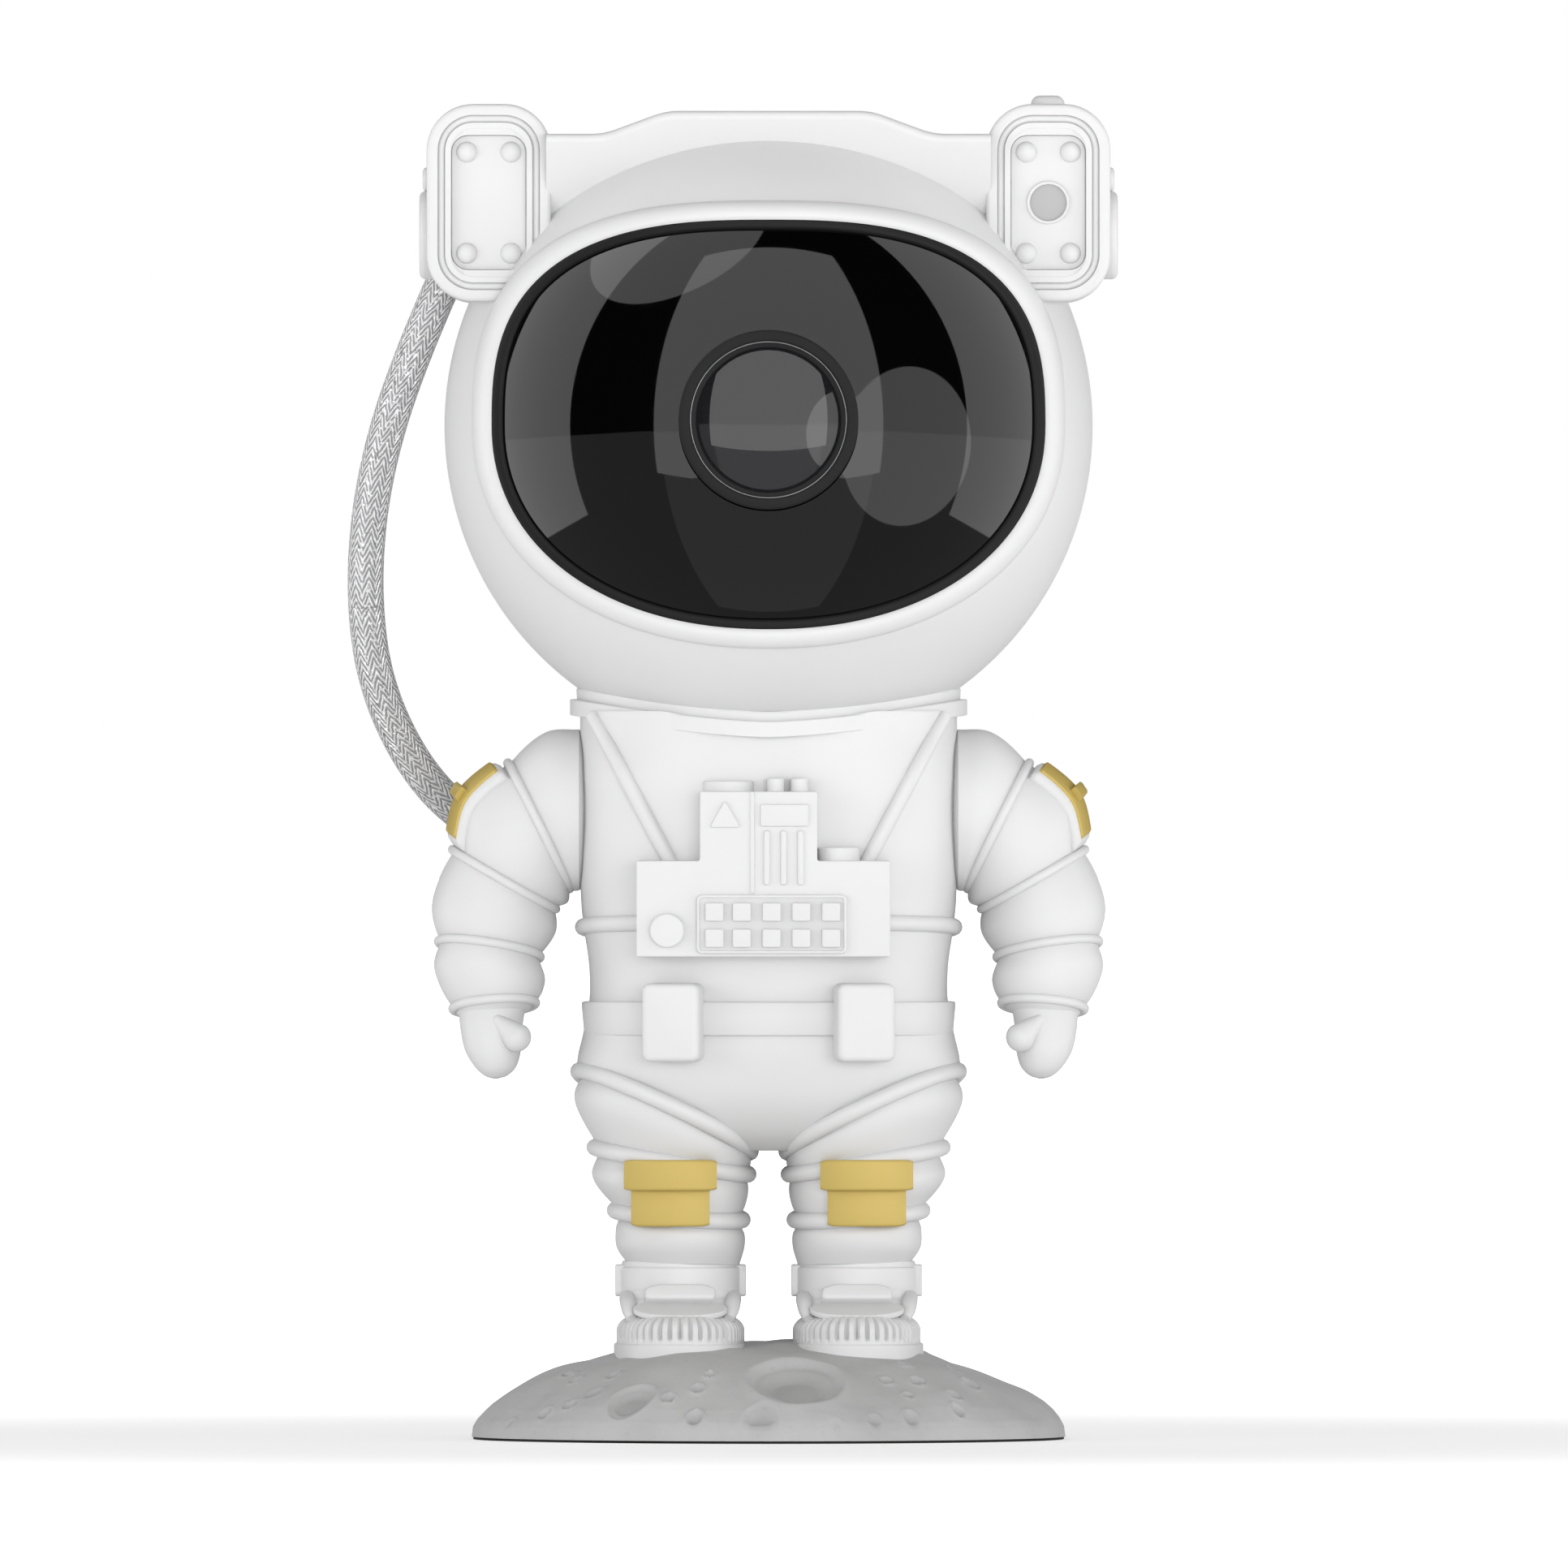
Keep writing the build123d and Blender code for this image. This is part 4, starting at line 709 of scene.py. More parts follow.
class Bench:
    """Turns workpieces into finished pieces of the object."""

    def __init__(self) -> None:
        """Make every finish and every growing tree once."""
        self.materials = {slot: finish.build() for slot, finish in FINISHES.items()}
        self.piping = Piping(self.materials[Slot.WHITE])
        self.rivets = Rivets(self.materials[Slot.WHITE])

    def place(self, name: str, mesh: bpy.types.Mesh, slot: Slot, body: str | None,
              stands_for: Sequence[str] = ()) -> bpy.types.Object:
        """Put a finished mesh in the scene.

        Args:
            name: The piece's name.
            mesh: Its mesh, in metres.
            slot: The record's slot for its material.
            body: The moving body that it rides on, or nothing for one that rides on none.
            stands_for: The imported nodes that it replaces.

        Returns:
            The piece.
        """
        piece = bpy.data.objects.new(name, mesh)
        bpy.context.scene.collection.objects.link(piece)
        mesh.materials.clear()
        mesh.materials.append(self.materials[slot])
        if body:
            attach(piece, body)
        if stands_for:
            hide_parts(*stands_for)
        LOG.info("%s: %d faces on %s", name, len(mesh.polygons), body)
        return piece

    def make(self, work: Workpiece, name: str, slot: Slot, body: str,
             stands_for: Sequence[str] = (), crease: float = 32.0) -> bpy.types.Object:
        """Turn a workpiece into a piece.

        Args:
            work: The workpiece.
            name: The piece's name.
            slot: The record's slot for its material.
            body: The moving body that it rides on.
            stands_for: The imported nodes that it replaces.
            crease: Angle in degrees past which an edge stays sharp.

        Returns:
            The piece.
        """
        mesh = bpy.data.meshes.new(name)
        mesh.from_pydata((np.vstack(work.points) * MM).tolist(), [], work.faces)
        for mark, values in work.marks.items():
            layer = mesh.attributes.new(mark, "FLOAT", "POINT")
            layer.data.foreach_set("value", values.astype(np.float32))
        shell = bmesh.new()
        shell.from_mesh(mesh)
        bmesh.ops.remove_doubles(shell, verts=shell.verts, dist=1e-6)
        bmesh.ops.recalc_face_normals(shell, faces=shell.faces)
        shell.to_mesh(mesh)
        shell.free()
        mesh.shade_smooth()
        mesh.set_sharp_from_angle(angle=math.radians(crease))
        return self.place(name, mesh, slot, body, stands_for)

    def pipe(self, name: str, paths: Sequence[np.ndarray], radius: float, body: str,
             closed: bool = True) -> None:
        """Lay round piping along paths, as one piece.

        Args:
            name: The piece's name.
            paths: Where it runs, in millimetres.
            radius: Its radius.
            body: The moving body that it rides on.
            closed: Whether each path is a loop.
        """
        mesh = self.piping.grow(wire(paths, closed), name, Radius=radius * MM)
        self.place(name, mesh, Slot.WHITE, body)

    def dress(self, node: str, slot: Slot) -> None:
        """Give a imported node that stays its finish.

        Args:
            node: The node's name.
            slot: The record's slot for its material.
        """
        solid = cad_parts[node]
        solid.data.materials.clear()
        solid.data.materials.append(self.materials[slot])
        for face in solid.data.polygons:
            face.material_index = 0


# ---- growing trees
class Grower:
    """Geometry node tree that grows detail on a carrier mesh."""

    def __init__(self, name: str, sizes: dict[str, float], material: bpy.types.Material) -> None:
        """Start a tree with named size inputs.

        Args:
            name: The tree's name.
            sizes: Names and default values of its inputs.
            material: Finish that the tree sets at its end.
        """
        self.tree = bpy.data.node_groups.new(name, "GeometryNodeTree")
        self.material = material
        faces = self.tree.interface
        faces.new_socket("Geometry", in_out="INPUT", socket_type="NodeSocketGeometry")
        self.keys = {}
        for size, value in sizes.items():
            socket = faces.new_socket(size, in_out="INPUT", socket_type="NodeSocketFloat")
            socket.default_value = value
            self.keys[size] = socket.identifier
        faces.new_socket("Geometry", in_out="OUTPUT", socket_type="NodeSocketGeometry")
        self.entry = self.tree.nodes.new("NodeGroupInput")

    def node(self, kind: str, settings: dict | None = None, **inputs: object) -> bpy.types.Node:
        """Add a node.

        Args:
            kind: The node's type.
            settings: Properties that are set first.
            inputs: Values, or output sockets to link, by socket name.

        Returns:
            The node.
        """
        made = self.tree.nodes.new(kind)
        for key, value in (settings or {}).items():
            setattr(made, key, value)
        for key, value in inputs.items():
            socket = made.inputs[key.replace("_", " ")]
            if isinstance(value, bpy.types.NodeSocket):
                self.tree.links.new(value, socket)
            else:
                socket.default_value = value
        return made

    def close(self, geometry: bpy.types.NodeSocket) -> None:
        """End the tree: real geometry with its finish.

        Args:
            geometry: What the tree has grown.
        """
        real = self.node("GeometryNodeRealizeInstances", Geometry=geometry)
        dressed = self.node("GeometryNodeSetMaterial", Geometry=real.outputs[0],
                            Material=self.material)
        leave = self.tree.nodes.new("NodeGroupOutput")
        self.tree.links.new(dressed.outputs[0], leave.inputs[0])

    def grow(self, carrier: bpy.types.Mesh, name: str, **sizes: float) -> bpy.types.Mesh:
        """Run the tree.

        Args:
            carrier: Mesh that it grows on.
            name: Name of the result.
            sizes: Sizes that differ from the tree's own.

        Returns:
            The plain result.
        """
        holder = bpy.data.objects.new(name, carrier)
        bpy.context.scene.collection.objects.link(holder)
        modifier = holder.modifiers.new(name, "NODES")
        modifier.node_group = self.tree
        for size, value in sizes.items():
            modifier[self.keys[size]] = value
        ready = holder.evaluated_get(bpy.context.evaluated_depsgraph_get())
        mesh = bpy.data.meshes.new_from_object(ready)
        holder.modifiers.remove(modifier)
        bpy.data.objects.remove(holder)
        mesh.name = name
        return mesh


class Piping(Grower):
    """Round piping along the edges of its carrier."""

    def __init__(self, material: bpy.types.Material) -> None:
        """Build the tree.

        Args:
            material: Its finish.
        """
        super().__init__("piping_tree", {"Radius": 1.0 * MM, "Spacing": 0.6 * MM}, material)
        path = self.node("GeometryNodeMeshToCurve", Mesh=self.entry.outputs[0])
        even = self.node("GeometryNodeResampleCurve", {"mode": "LENGTH"},
                         Curve=path.outputs[0], Length=self.entry.outputs["Spacing"])
        profile = self.node("GeometryNodeCurvePrimitiveCircle", {"mode": "RADIUS"},
                            Resolution=14, Radius=self.entry.outputs["Radius"])
        swept = self.node("GeometryNodeCurveToMesh", Curve=even.outputs[0],
                          Profile_Curve=profile.outputs[0], Fill_Caps=True)
        smooth = self.node("GeometryNodeSetShadeSmooth", Geometry=swept.outputs[0])
        self.close(smooth.outputs[0])


class Rivets(Grower):
    """Low domed heads, one on each point of the carrier, facing the viewer."""

    def __init__(self, material: bpy.types.Material) -> None:
        """Build the tree.

        Args:
            material: Its finish.
        """
        super().__init__("rivet_tree", {"Radius": 1.8 * MM, "Dome": 0.7}, material)
        ball = self.node("GeometryNodeMeshUVSphere", Segments=32, Rings=20,
                         Radius=self.entry.outputs["Radius"])
        squash = self.node("ShaderNodeCombineXYZ", X=1.0, Y=self.entry.outputs["Dome"], Z=1.0)
        smooth = self.node("GeometryNodeSetShadeSmooth", Geometry=ball.outputs[0])
        heads = self.node("GeometryNodeInstanceOnPoints", Points=self.entry.outputs[0],
                          Instance=smooth.outputs[0], Scale=squash.outputs[0])
        self.close(heads.outputs[0])


def wire(loops: Sequence[np.ndarray], closed: bool = True) -> bpy.types.Mesh:
    """Carrier of edges only.

    Args:
        loops: Paths, in millimetres.
        closed: Whether each path is a loop.

    Returns:
        The carrier, in metres.
    """
    points, edges, count = [], [], 0
    for loop in loops:
        points += (np.asarray(loop) * MM).tolist()
        last = len(loop) if closed else len(loop) - 1
        edges += [(count + i, count + (i + 1) % len(loop)) for i in range(last)]
        count += len(loop)
    mesh = bpy.data.meshes.new("wire")
    mesh.from_pydata(points, edges, [])
    return mesh


@dataclass
class Assembly:
    """Sub-assembly of the object, finished on a bench."""

    bench: Bench


@dataclass
class Sided(Assembly):
    """Sub-assembly that stands on both sides."""

    side: Side

    @property
    def name(self) -> str:
        """Start of its pieces' names."""
        return self.side.word


# ---- limbs
@dataclass(frozen=True)
class Station:
    """One section across a limb: its side points (x, z), half depth, and how it leans."""

    outer: tuple[float, float]
    inner: tuple[float, float]
    depth: float
    shift: float = 0.0
    rise: float = 0.0


@dataclass
class Limb:
    """Soft sleeve through tilted sections, drawn in where its piping lies."""

    stations: Sequence[Station]
    piped: Sequence[float]
    side: Side
    pinch: float = 0.9
    reach: float = 1.9
    power: float = 2.2

    def table(self) -> np.ndarray:
        """Stations as rows: outer x z, inner x z, depth, shift, rise."""
        return np.array([[*s.outer, *s.inner, s.depth, s.shift, s.rise] for s in self.stations])

    def drawn_in(self, place: float) -> float:
        """Fold at the piping.

        Args:
            place: Place along the limb.

        Returns:
            Its depth there.
        """
        table = self.table()
        middle = (table[:, 0:2] + table[:, 2:4]) / 2
        spans = np.concatenate([[0], np.cumsum(np.linalg.norm(np.diff(middle, axis=0), axis=1))])
        here = np.interp(place, range(len(spans)), spans)
        gaps = [abs(here - np.interp(ring, range(len(spans)), spans)) for ring in self.piped]
        return sum(self.pinch * math.exp(-(gap / self.reach) ** 1.4) for gap in gaps)

    def loop(self, place: float, lift: float = 0.0, turns: np.ndarray | None = None,
             folded: bool = True) -> np.ndarray:
        """Points round the limb at a place.

        Args:
            place: Station number, whole or between.
            lift: Distance off the surface.
            turns: Angles round the limb from its outer side, through the front.
            folded: Whether the fold at the piping counts.

        Returns:
            The points.
        """
        if turns is None:
            turns = lap(72)
        ox, oz, ix, iz, depth, shift, rise = eased(self.table(), np.array([place]))[0]
        centre = np.array([(ox + ix) / 2, -shift, (oz + iz) / 2])
        half = np.array([(ox - ix) / 2, 0.0, (oz - iz) / 2])
        length = np.linalg.norm(half)
        grow = lift - (self.drawn_in(place) if folded else 0.0)
        across = half / length * (length + grow)
        forward = np.array([0.0, -(depth + grow), rise])
        c, s = squared(turns, 2 / self.power)
        points = centre + c[:, None] * across + s[:, None] * forward
        points[:, 0] *= -self.side.value
        return points

    def sleeve(self, work: Workpiece, per: int = 9) -> None:
        """Skin the whole limb.

        Args:
            work: Workpiece that gets it.
            per: Rows from one station to the next.
        """
        places = np.linspace(0, len(self.stations) - 1, (len(self.stations) - 1) * per + 1)
        work.skin([self.loop(place) for place in places])


# ---- moon base
@dataclass(frozen=True)
class Crater:
    """Crater by where its middle shows from the front (x, z) and its radius."""

    x: float
    z: float
    radius: float
    depth: float = 0.8


@dataclass
class MoonBase(Assembly):
    """Domed piece of moon under the boots, with craters all round."""

    radius: float = 51.2
    low: float = 0.45
    profile: Sequence[tuple[float, float]] = (
        (0.0, 16.4), (12.0, 16.3), (20.0, 15.9), (28.6, 14.7), (35.0, 12.5), (40.1, 10.2),
        (44.3, 8.0), (47.7, 5.7), (50.2, 3.5), (51.1, 2.0), (51.2, 0.45))
    rows: int = 172
    columns: int = 540
    craters: Sequence[Crater] = (
        Crater(4.6, 10.6, 8.6, 2.0), Crater(-23.5, 7.1, 4.3, 1.0), Crater(-1.3, 3.6, 3.4, 0.9),
        Crater(-12.7, 4.2, 1.6, 1.0), Crater(-17.2, 7.4, 1.3), Crater(-12.2, 9.1, 1.3),
        Crater(-10.2, 11.2, 1.1), Crater(11.8, 1.5, 1.4), Crater(18.3, 3.8, 1.4),
        Crater(24.6, 3.9, 1.6, 1.0), Crater(32.5, 4.9, 1.3), Crater(31.9, 7.4, 1.5),
        Crater(34.7, 9.5, 1.7), Crater(31.9, 12.0, 1.4), Crater(25.5, 9.9, 1.5),
        Crater(23.9, 8.0, 1.1), Crater(20.2, 10.6, 1.3), Crater(23.2, 12.6, 1.4),
        Crater(-44.8, 3.1, 1.2), Crater(-38.4, 4.9, 1.3), Crater(-34.0, 6.4, 1.4),
        Crater(-30.0, 8.4, 1.9, 0.5), Crater(-26.7, 11.3, 1.3), Crater(-33.2, 10.4, 1.3),
        Crater(-34.4, 11.3, 1.3))
    seed: int = 11
    far_count: int = 26
    far_radii: Sequence[float] = (1.2, 1.6, 2.4, 3.6, 6.0)
    far_band: tuple[float, float] = (20, 46)
    lip: float = 0.3
    stepped_from: float = 3
    crowding: float = 0.55
    pad_inset: float = 0.25
    pad_top: float = 0.5

    def height(self, reach: np.ndarray) -> np.ndarray:
        """Smooth dome without its relief.

        Args:
            reach: Distances from the middle.

        Returns:
            Heights.
        """
        table = np.array(self.profile)
        inner = np.interp(reach, table[:, 0], table[:, 1])
        soft = sum(np.interp(np.abs(reach + shift), table[:, 0], table[:, 1])
                   for shift in np.linspace(-2.0, 2.0, 9)) / 9
        share = np.clip((48.0 - reach) / 6.0, 0, 1)
        return inner * (1 - share) + soft * share

    def reach_at(self, height: float) -> float:
        """Distance from the middle where the dome has that height."""
        table = np.array(self.profile)[::-1]
        return float(np.interp(height, table[:, 1], table[:, 0]))

    def placed(self) -> list[tuple[float, float, float, float]]:
        """Set out the craters in front, then scatter those behind.

        Returns:
            The x, y, radius and depth of each.
        """
        found = []
        for crater in self.craters:
            reach = self.reach_at(crater.z)
            y = -math.sqrt(max(reach ** 2 - crater.x ** 2, 1.0))
            found.append((crater.x, y, crater.radius, crater.depth))
        dice = np.random.default_rng(self.seed)
        while len(found) < len(self.craters) + self.far_count:
            turn = dice.uniform(0.03, 0.97) * math.pi
            reach, radius = dice.uniform(*self.far_band), dice.choice(self.far_radii)
            x, y = reach * math.cos(turn), reach * math.sin(turn)
            clear = all(math.hypot(x - a, y - b) > radius + c + 0.8 for a, b, c, _ in found)
            if clear and reach + radius < 49:
                found.append((x, y, radius, 0.26 * radius ** 0.9))
        return found

    def slope(self, off: np.ndarray, high: float, low: float) -> np.ndarray:
        """Smooth fall from 0 at one distance to 1 at a nearer one."""
        share = np.clip((high - off) / (high - low), 0, 1)
        return share * share * (3 - 2 * share)

    def relief(self, x: np.ndarray, y: np.ndarray) -> tuple[np.ndarray, np.ndarray]:
        """Craters and swells.

        Args:
            x: Places across.
            y: Places from front to back.

        Returns:
            The rise at each place, and how deep in a crater it lies.
        """
        rise = (0.5 * np.sin(x * 0.13 + 1.0) * np.cos(y * 0.11)
                + 0.3 * np.sin(x * 0.29 + y * 0.21) * np.sin(y * 0.17 + 0.6)
                + 0.16 * np.sin(y * 0.45 - x * 0.31 + 2.0))
        floor = np.zeros_like(x)
        for cx, cy, radius, depth in self.placed():
            off = np.hypot(x - cx, y - cy) / radius
            if radius > self.stepped_from:
                flat = 0.35 * self.slope(off, 1.0, 0.8) + 0.65 * self.slope(off, 0.76, 0.42)
            else:
                flat = self.slope(off, 0.98, 0.2)
            lip = np.exp(-((off - 1.0) / 0.12) ** 2) + 0.5 * np.exp(-((off - 1.1) / 0.3) ** 2)
            rise += -depth * flat + self.lip * depth * lip
            floor = np.maximum(floor, flat)
        return rise, floor

    def build(self) -> None:
        """Make the moon and dress the parts under it."""
        work = Workpiece()
        turn = lap(self.columns)
        turn = turn - self.crowding * np.cos(turn)  # points lie closer where the viewer looks
        reaches = self.radius * np.linspace(0.0015, 1.0, self.rows) ** 0.75
        rows, floors = [], []
        for reach in reaches:
            x, y = reach * np.cos(turn), reach * np.sin(turn)
            rise, floor = self.relief(x, y)
            share = np.clip((self.radius - reach) / 2.0, 0, 1)
            z = np.maximum(self.height(np.full_like(x, reach)) + rise * share, self.low)
            rows.append(np.stack([x, y, z], 1))
            floors.append(floor * share)
        under = [np.stack([r * np.cos(turn), r * np.sin(turn), np.full_like(turn, self.low)], 1)
                 for r in (self.radius - 0.4, 47.0)]
        work.skin(rows + under)
        work.marks["crater"] = np.concatenate(floors + [np.zeros_like(turn)] * 2)
        self.bench.make(work, "moon_crust", Slot.MOON, "stand", ["moon_base_shell"], 60)
        pad = Workpiece()
        pad.slab(disc(self.radius - self.pad_inset, steps=180), GROUND, 0.0, self.pad_top, 0.08,
                 2, True)
        self.bench.make(pad, "foot_pad", Slot.RUBBER, "stand", ["rubber_pad"])
        for node, slot in (("base_plate", Slot.DARK), ("ballast_weight", Slot.IRON),
                           ("base_screws", Slot.SCREW)):
            self.bench.dress(node, slot)


# ---- boots
@dataclass
class Boot(Sided):
    """Boot with a fluted toe cap, a tongue flap and a strapped ankle band."""

    centre_x: float = 15.2
    half_width: float = 11.5
    toe: float = 23.6
    heel: float = 13.0
    sole_low: float = 12.9
    sole_top: float = 16.6
    cap_top: float = 21.7
    flute_pitch: float = 1.77
    flute_depth: float = 0.85
    cap_inset: float = 0.45
    cap_dome: float = 4.6
    fine: int = 720
    squareness: float = 2.7
    upper_power: float = 0.55
    upper: Sequence[tuple[float, ...]] = (  # height, half width, reach forwards and back
        (20.5, 8.6, 14.2, 11.0), (21.8, 9.5, 14.6, 11.8), (22.9, 9.8, 14.2, 11.9),
        (23.9, 9.5, 13.2, 11.4), (24.6, 9.3, 12.2, 10.9), (25.8, 9.2, 11.6, 11.0))
    tongue: Profile = ((-6.2, -1.8), (6.2, -1.8), (6.0, 0.5), (3.8, 1.3), (-3.8, 1.3), (-6.0, 0.5))
    tongue_lean: float = 34
    roll: Sequence[Point] = (
        (8.3, -15.2, 20.9), (8.8, -13.2, 22.3), (9.0, -10.4, 23.6), (9.1, -6.0, 24.4),
        (9.1, 1.0, 24.4), (8.4, 8.0, 24.0))
    roll_radius: float = 1.45
    instep: tuple[float, float] = (8.1, 4.5)
    instep_tilt: float = 17
    band_half: tuple[float, float] = (10.1, 11.3)
    band_proud: float = 0.5

    @property
    def x(self) -> float:
        """The foot's place across."""
        return self.side.value * self.centre_x

    def print_line(self, shrink: float, steps: int) -> np.ndarray:
        """Outline of the foot.

        Args:
            shrink: How far it is drawn in.
            steps: Its points.

        Returns:
            The outline, anticlockwise from the outer side.
        """
        across, along = squared(lap(steps), 2 / self.squareness)
        y = np.where(along < 0, along * (self.toe - shrink), along * (self.heel - shrink))
        x = (self.half_width - shrink) * across
        return np.stack([x + self.x, y], 1)

    def level(self, outline: np.ndarray, z: float | np.ndarray) -> np.ndarray:
        """Outline at a height."""
        return np.column_stack([outline, np.broadcast_to(z, len(outline))])

    def cap_rows(self) -> list[np.ndarray]:
        """Toe cap with upright rounded flutes round the toe.

        Returns:
            Its rows, from the sole up.
        """
        rows = []
        base = self.print_line(self.cap_inset, self.fine)
        steps = np.linalg.norm(np.diff(base, axis=0, append=base[:1]), axis=1)
        run = np.concatenate([[0], np.cumsum(steps)[:-1]])
        toe_run = run[np.argmin(base[:, 1])]
        wave = np.cos((run - toe_run) / self.flute_pitch * 2 * math.pi)
        groove = (np.clip(wave - 0.15, 0, None) / 0.85) ** 0.6
        outer = self.print_line(0.0, self.fine)
        inner = inset(outer, 1.0) - outer
        reach = np.clip(-(base[:, 1] + 1.0) / 5.0, 0, 1)
        wall = self.cap_top - self.sole_top
        for share in np.concatenate([[0.0, 0.06], np.linspace(0.12, 1.0, 16)]):
            arch = max(0.0, (share - 0.42) / 0.58)
            pull = self.cap_dome * (1 - math.sqrt(max(0.0, 1 - arch ** 2)))
            lip = math.sin(min(1.0, max(0.0, (share - 0.10) / 0.12)) * math.pi / 2)
            fade = lip * math.sin(min(1.0, (1.0 - share) / 0.16 + 0.25) * math.pi / 2)
            cut = self.cap_inset + pull + self.flute_depth * groove * reach * fade
            rows.append(self.level(outer + inner * cut[:, None], self.sole_top + wall * share))
        return rows

    def build(self) -> None:
        """Make the boot's pieces."""
        sole = Workpiece()
        sole.slab(self.print_line(0.0, 120), GROUND, self.sole_low, self.sole_top, 0.35)
        self.bench.make(sole, f"{self.name}_boot_sole", Slot.WHITE, "stand", [f"{self.name}_boot"])
        cap = Workpiece()
        cap.skin(self.cap_rows())
        self.bench.make(cap, f"{self.name}_toe_cap", Slot.WHITE, "stand", crease=50)
        upper = Workpiece()
        table = np.array(self.upper)
        across, along = squared(lap(72), self.upper_power)
        rows = []
        for z, half, front, back in eased(table, np.linspace(0, len(table) - 1, 31)):
            y = np.where(along < 0, along * front, along * back)
            rows.append(np.column_stack([self.x + half * across, y, np.full_like(y, z)]))
        upper.skin(rows)
        self.bench.make(upper, f"{self.name}_boot_upper", Slot.WHITE, "stand")
        self.flaps()
        self.band()

    def flaps(self) -> None:
        """Tongue over the ankle, rolled sides, and the instep plate on the toe cap."""
        flap = Workpiece()
        lean = math.radians(self.tongue_lean)
        bed = Bed((self.x, -8.0, 22.1), (1.0, 0.0, 0.0), (0.0, math.sin(lean), math.cos(lean)))
        flap.slab(rounded(self.tongue, 0.9, 6), bed, -1.0, 7.0, 0.6, 5)
        self.bench.make(flap, f"{self.name}_boot_tongue", Slot.WHITE, "stand")
        rolls = Workpiece()
        for edge in (-1, 1):
            path = np.array([(self.x + edge * out, y, z) for out, y, z in self.roll])
            path = eased(path, np.linspace(0, len(path) - 1, 30))
            swell = np.sin(np.linspace(0.35, math.pi - 0.35, len(path))) ** 0.5
            rolls.tube(path, self.roll_radius * swell, 16)
        self.bench.make(rolls, f"{self.name}_boot_rolls", Slot.WHITE, "stand")
        plate = Workpiece()
        tilt = math.radians(self.instep_tilt)
        bed = Bed((self.x, -15.8, 22.3), (1.0, 0.0, 0.0), (0.0, math.cos(tilt), math.sin(tilt)))
        half, deep = self.instep
        turn = lap(64)
        oval = np.stack([half * squared(turn, 0.8)[0], deep * np.sin(turn)], 1)
        plate.slab(oval, bed, -0.35, 0.6, 0.2, 4, True)
        plate.slab(oval * 0.86, bed, -2.2, 0.0, 0.3, 3)
        self.bench.make(plate, f"{self.name}_instep_plate", Slot.WHITE, "stand")

    def band(self) -> None:
        """Ankle band with a lip above it and a lug on each side."""
        work = Workpiece()
        oval = disc(1.0, steps=96)
        flat = Bed((self.x, -1.0, 0.0), (1.0, 0.0, 0.0), (0.0, 1.0, 0.0))
        half, deep = self.band_half
        work.slab(oval * [half, deep], flat, 29.0, 30.8, 0.35)
        work.slab(oval * [half + self.band_proud, deep + self.band_proud], flat, 25.2, 29.75, 0.4,
                  4, True)
        for edge in (-1, 1):
            lug = Bed((self.x + edge * 10.2, -1.0, 27.4), (0.0, float(edge), 0.0))
            work.slab(oblong(6.4, 5.5, 0.5), lug, -0.6, 1.1, 0.35)
        self.bench.make(work, f"{self.name}_ankle_band", Slot.WHITE, "stand")


# ---- legs
LEG_STATIONS = (
    Station((-32.7, 64.6), (-2.6, 51.6), 20.8, 0.0, 1.7),
    Station((-32.8, 63.4), (-3.1, 49.6), 20.6, 0.0, 1.7),
    Station((-33.7, 58.7), (-2.9, 48.2), 19.6, 0.0, 0.9),
    Station((-30.4, 50.4), (-3.1, 45.6), 17.0, 0.0, -0.3),
    Station((-30.5, 45.2), (-3.4, 42.6), 17.0, 0.2, -0.4),
    Station((-26.9, 39.5), (-4.1, 37.8), 14.6, 0.6, -0.5),
    Station((-26.6, 36.2), (-3.9, 35.2), 14.6, 0.8, -0.2),
    Station((-26.2, 33.0), (-4.2, 32.8), 13.6, 0.9, 0.0),
    Station((-24.3, 30.2), (-5.0, 30.2), 11.2, 1.0, 0.0),
)


@dataclass
class Leg(Sided):
    """Padded trouser leg with three rings of piping and a two-part gold knee patch."""

    piping_lift: Profile = ((1, 1.1), (3, 0.7), (5, 0.7))
    piping_radius: float = 1.45
    knee_x: float = -16.9
    knee_round: float = 17.5
    limb: Limb = field(init=False)

    def __post_init__(self) -> None:
        """Set the sleeve up."""
        rings = [place for place, _ in self.piping_lift]
        self.limb = Limb(LEG_STATIONS, rings, self.side, 1.1, 2.1, 2.15)

    def build(self) -> None:
        """Make the leg, its piping and its patch."""
        work = Workpiece()
        self.limb.sleeve(work)
        self.bench.make(work, f"{self.name}_trouser_leg", Slot.WHITE, "stand", [f"{self.name}_leg"], 60)
        loops = [self.limb.loop(place, lift) for place, lift in self.piping_lift]
        self.bench.pipe(f"{self.name}_leg_piping", loops, self.piping_radius, "stand")
        self.patch()

    def patch(self) -> None:
        """Two gold plates, the upper one wider, bent round the knee."""
        work = Workpiece()
        for low, high, half, front, back in ((43.0, 48.3, 8.0, 19.4, 15.4),
                                             (36.8, 43.6, 6.75, 17.6, 12.4)):
            rows = []
            for share in np.linspace(-1, 1, 33):
                end = 1 - 0.12 * abs(share) ** 12
                middle, thick = (low + high) / 2, (high - low) / 2 * end
                bend = 1 - (share * half / self.knee_round) ** 2
                near, far = -front * math.sqrt(bend), -back * math.sqrt(bend)
                box = rounded([(far, middle - thick), (far, middle + thick),
                               (near, middle + thick), (near, middle - thick)], 0.45, 4)
                x = -self.side.value * (self.knee_x + share * half)
                rows.append(np.column_stack([np.full(len(box), x), box]))
            work.skin(rows)
        self.bench.make(work, f"{self.name}_knee_plate", Slot.GOLD, "stand", [f"{self.name}_knee_patch"], 40)


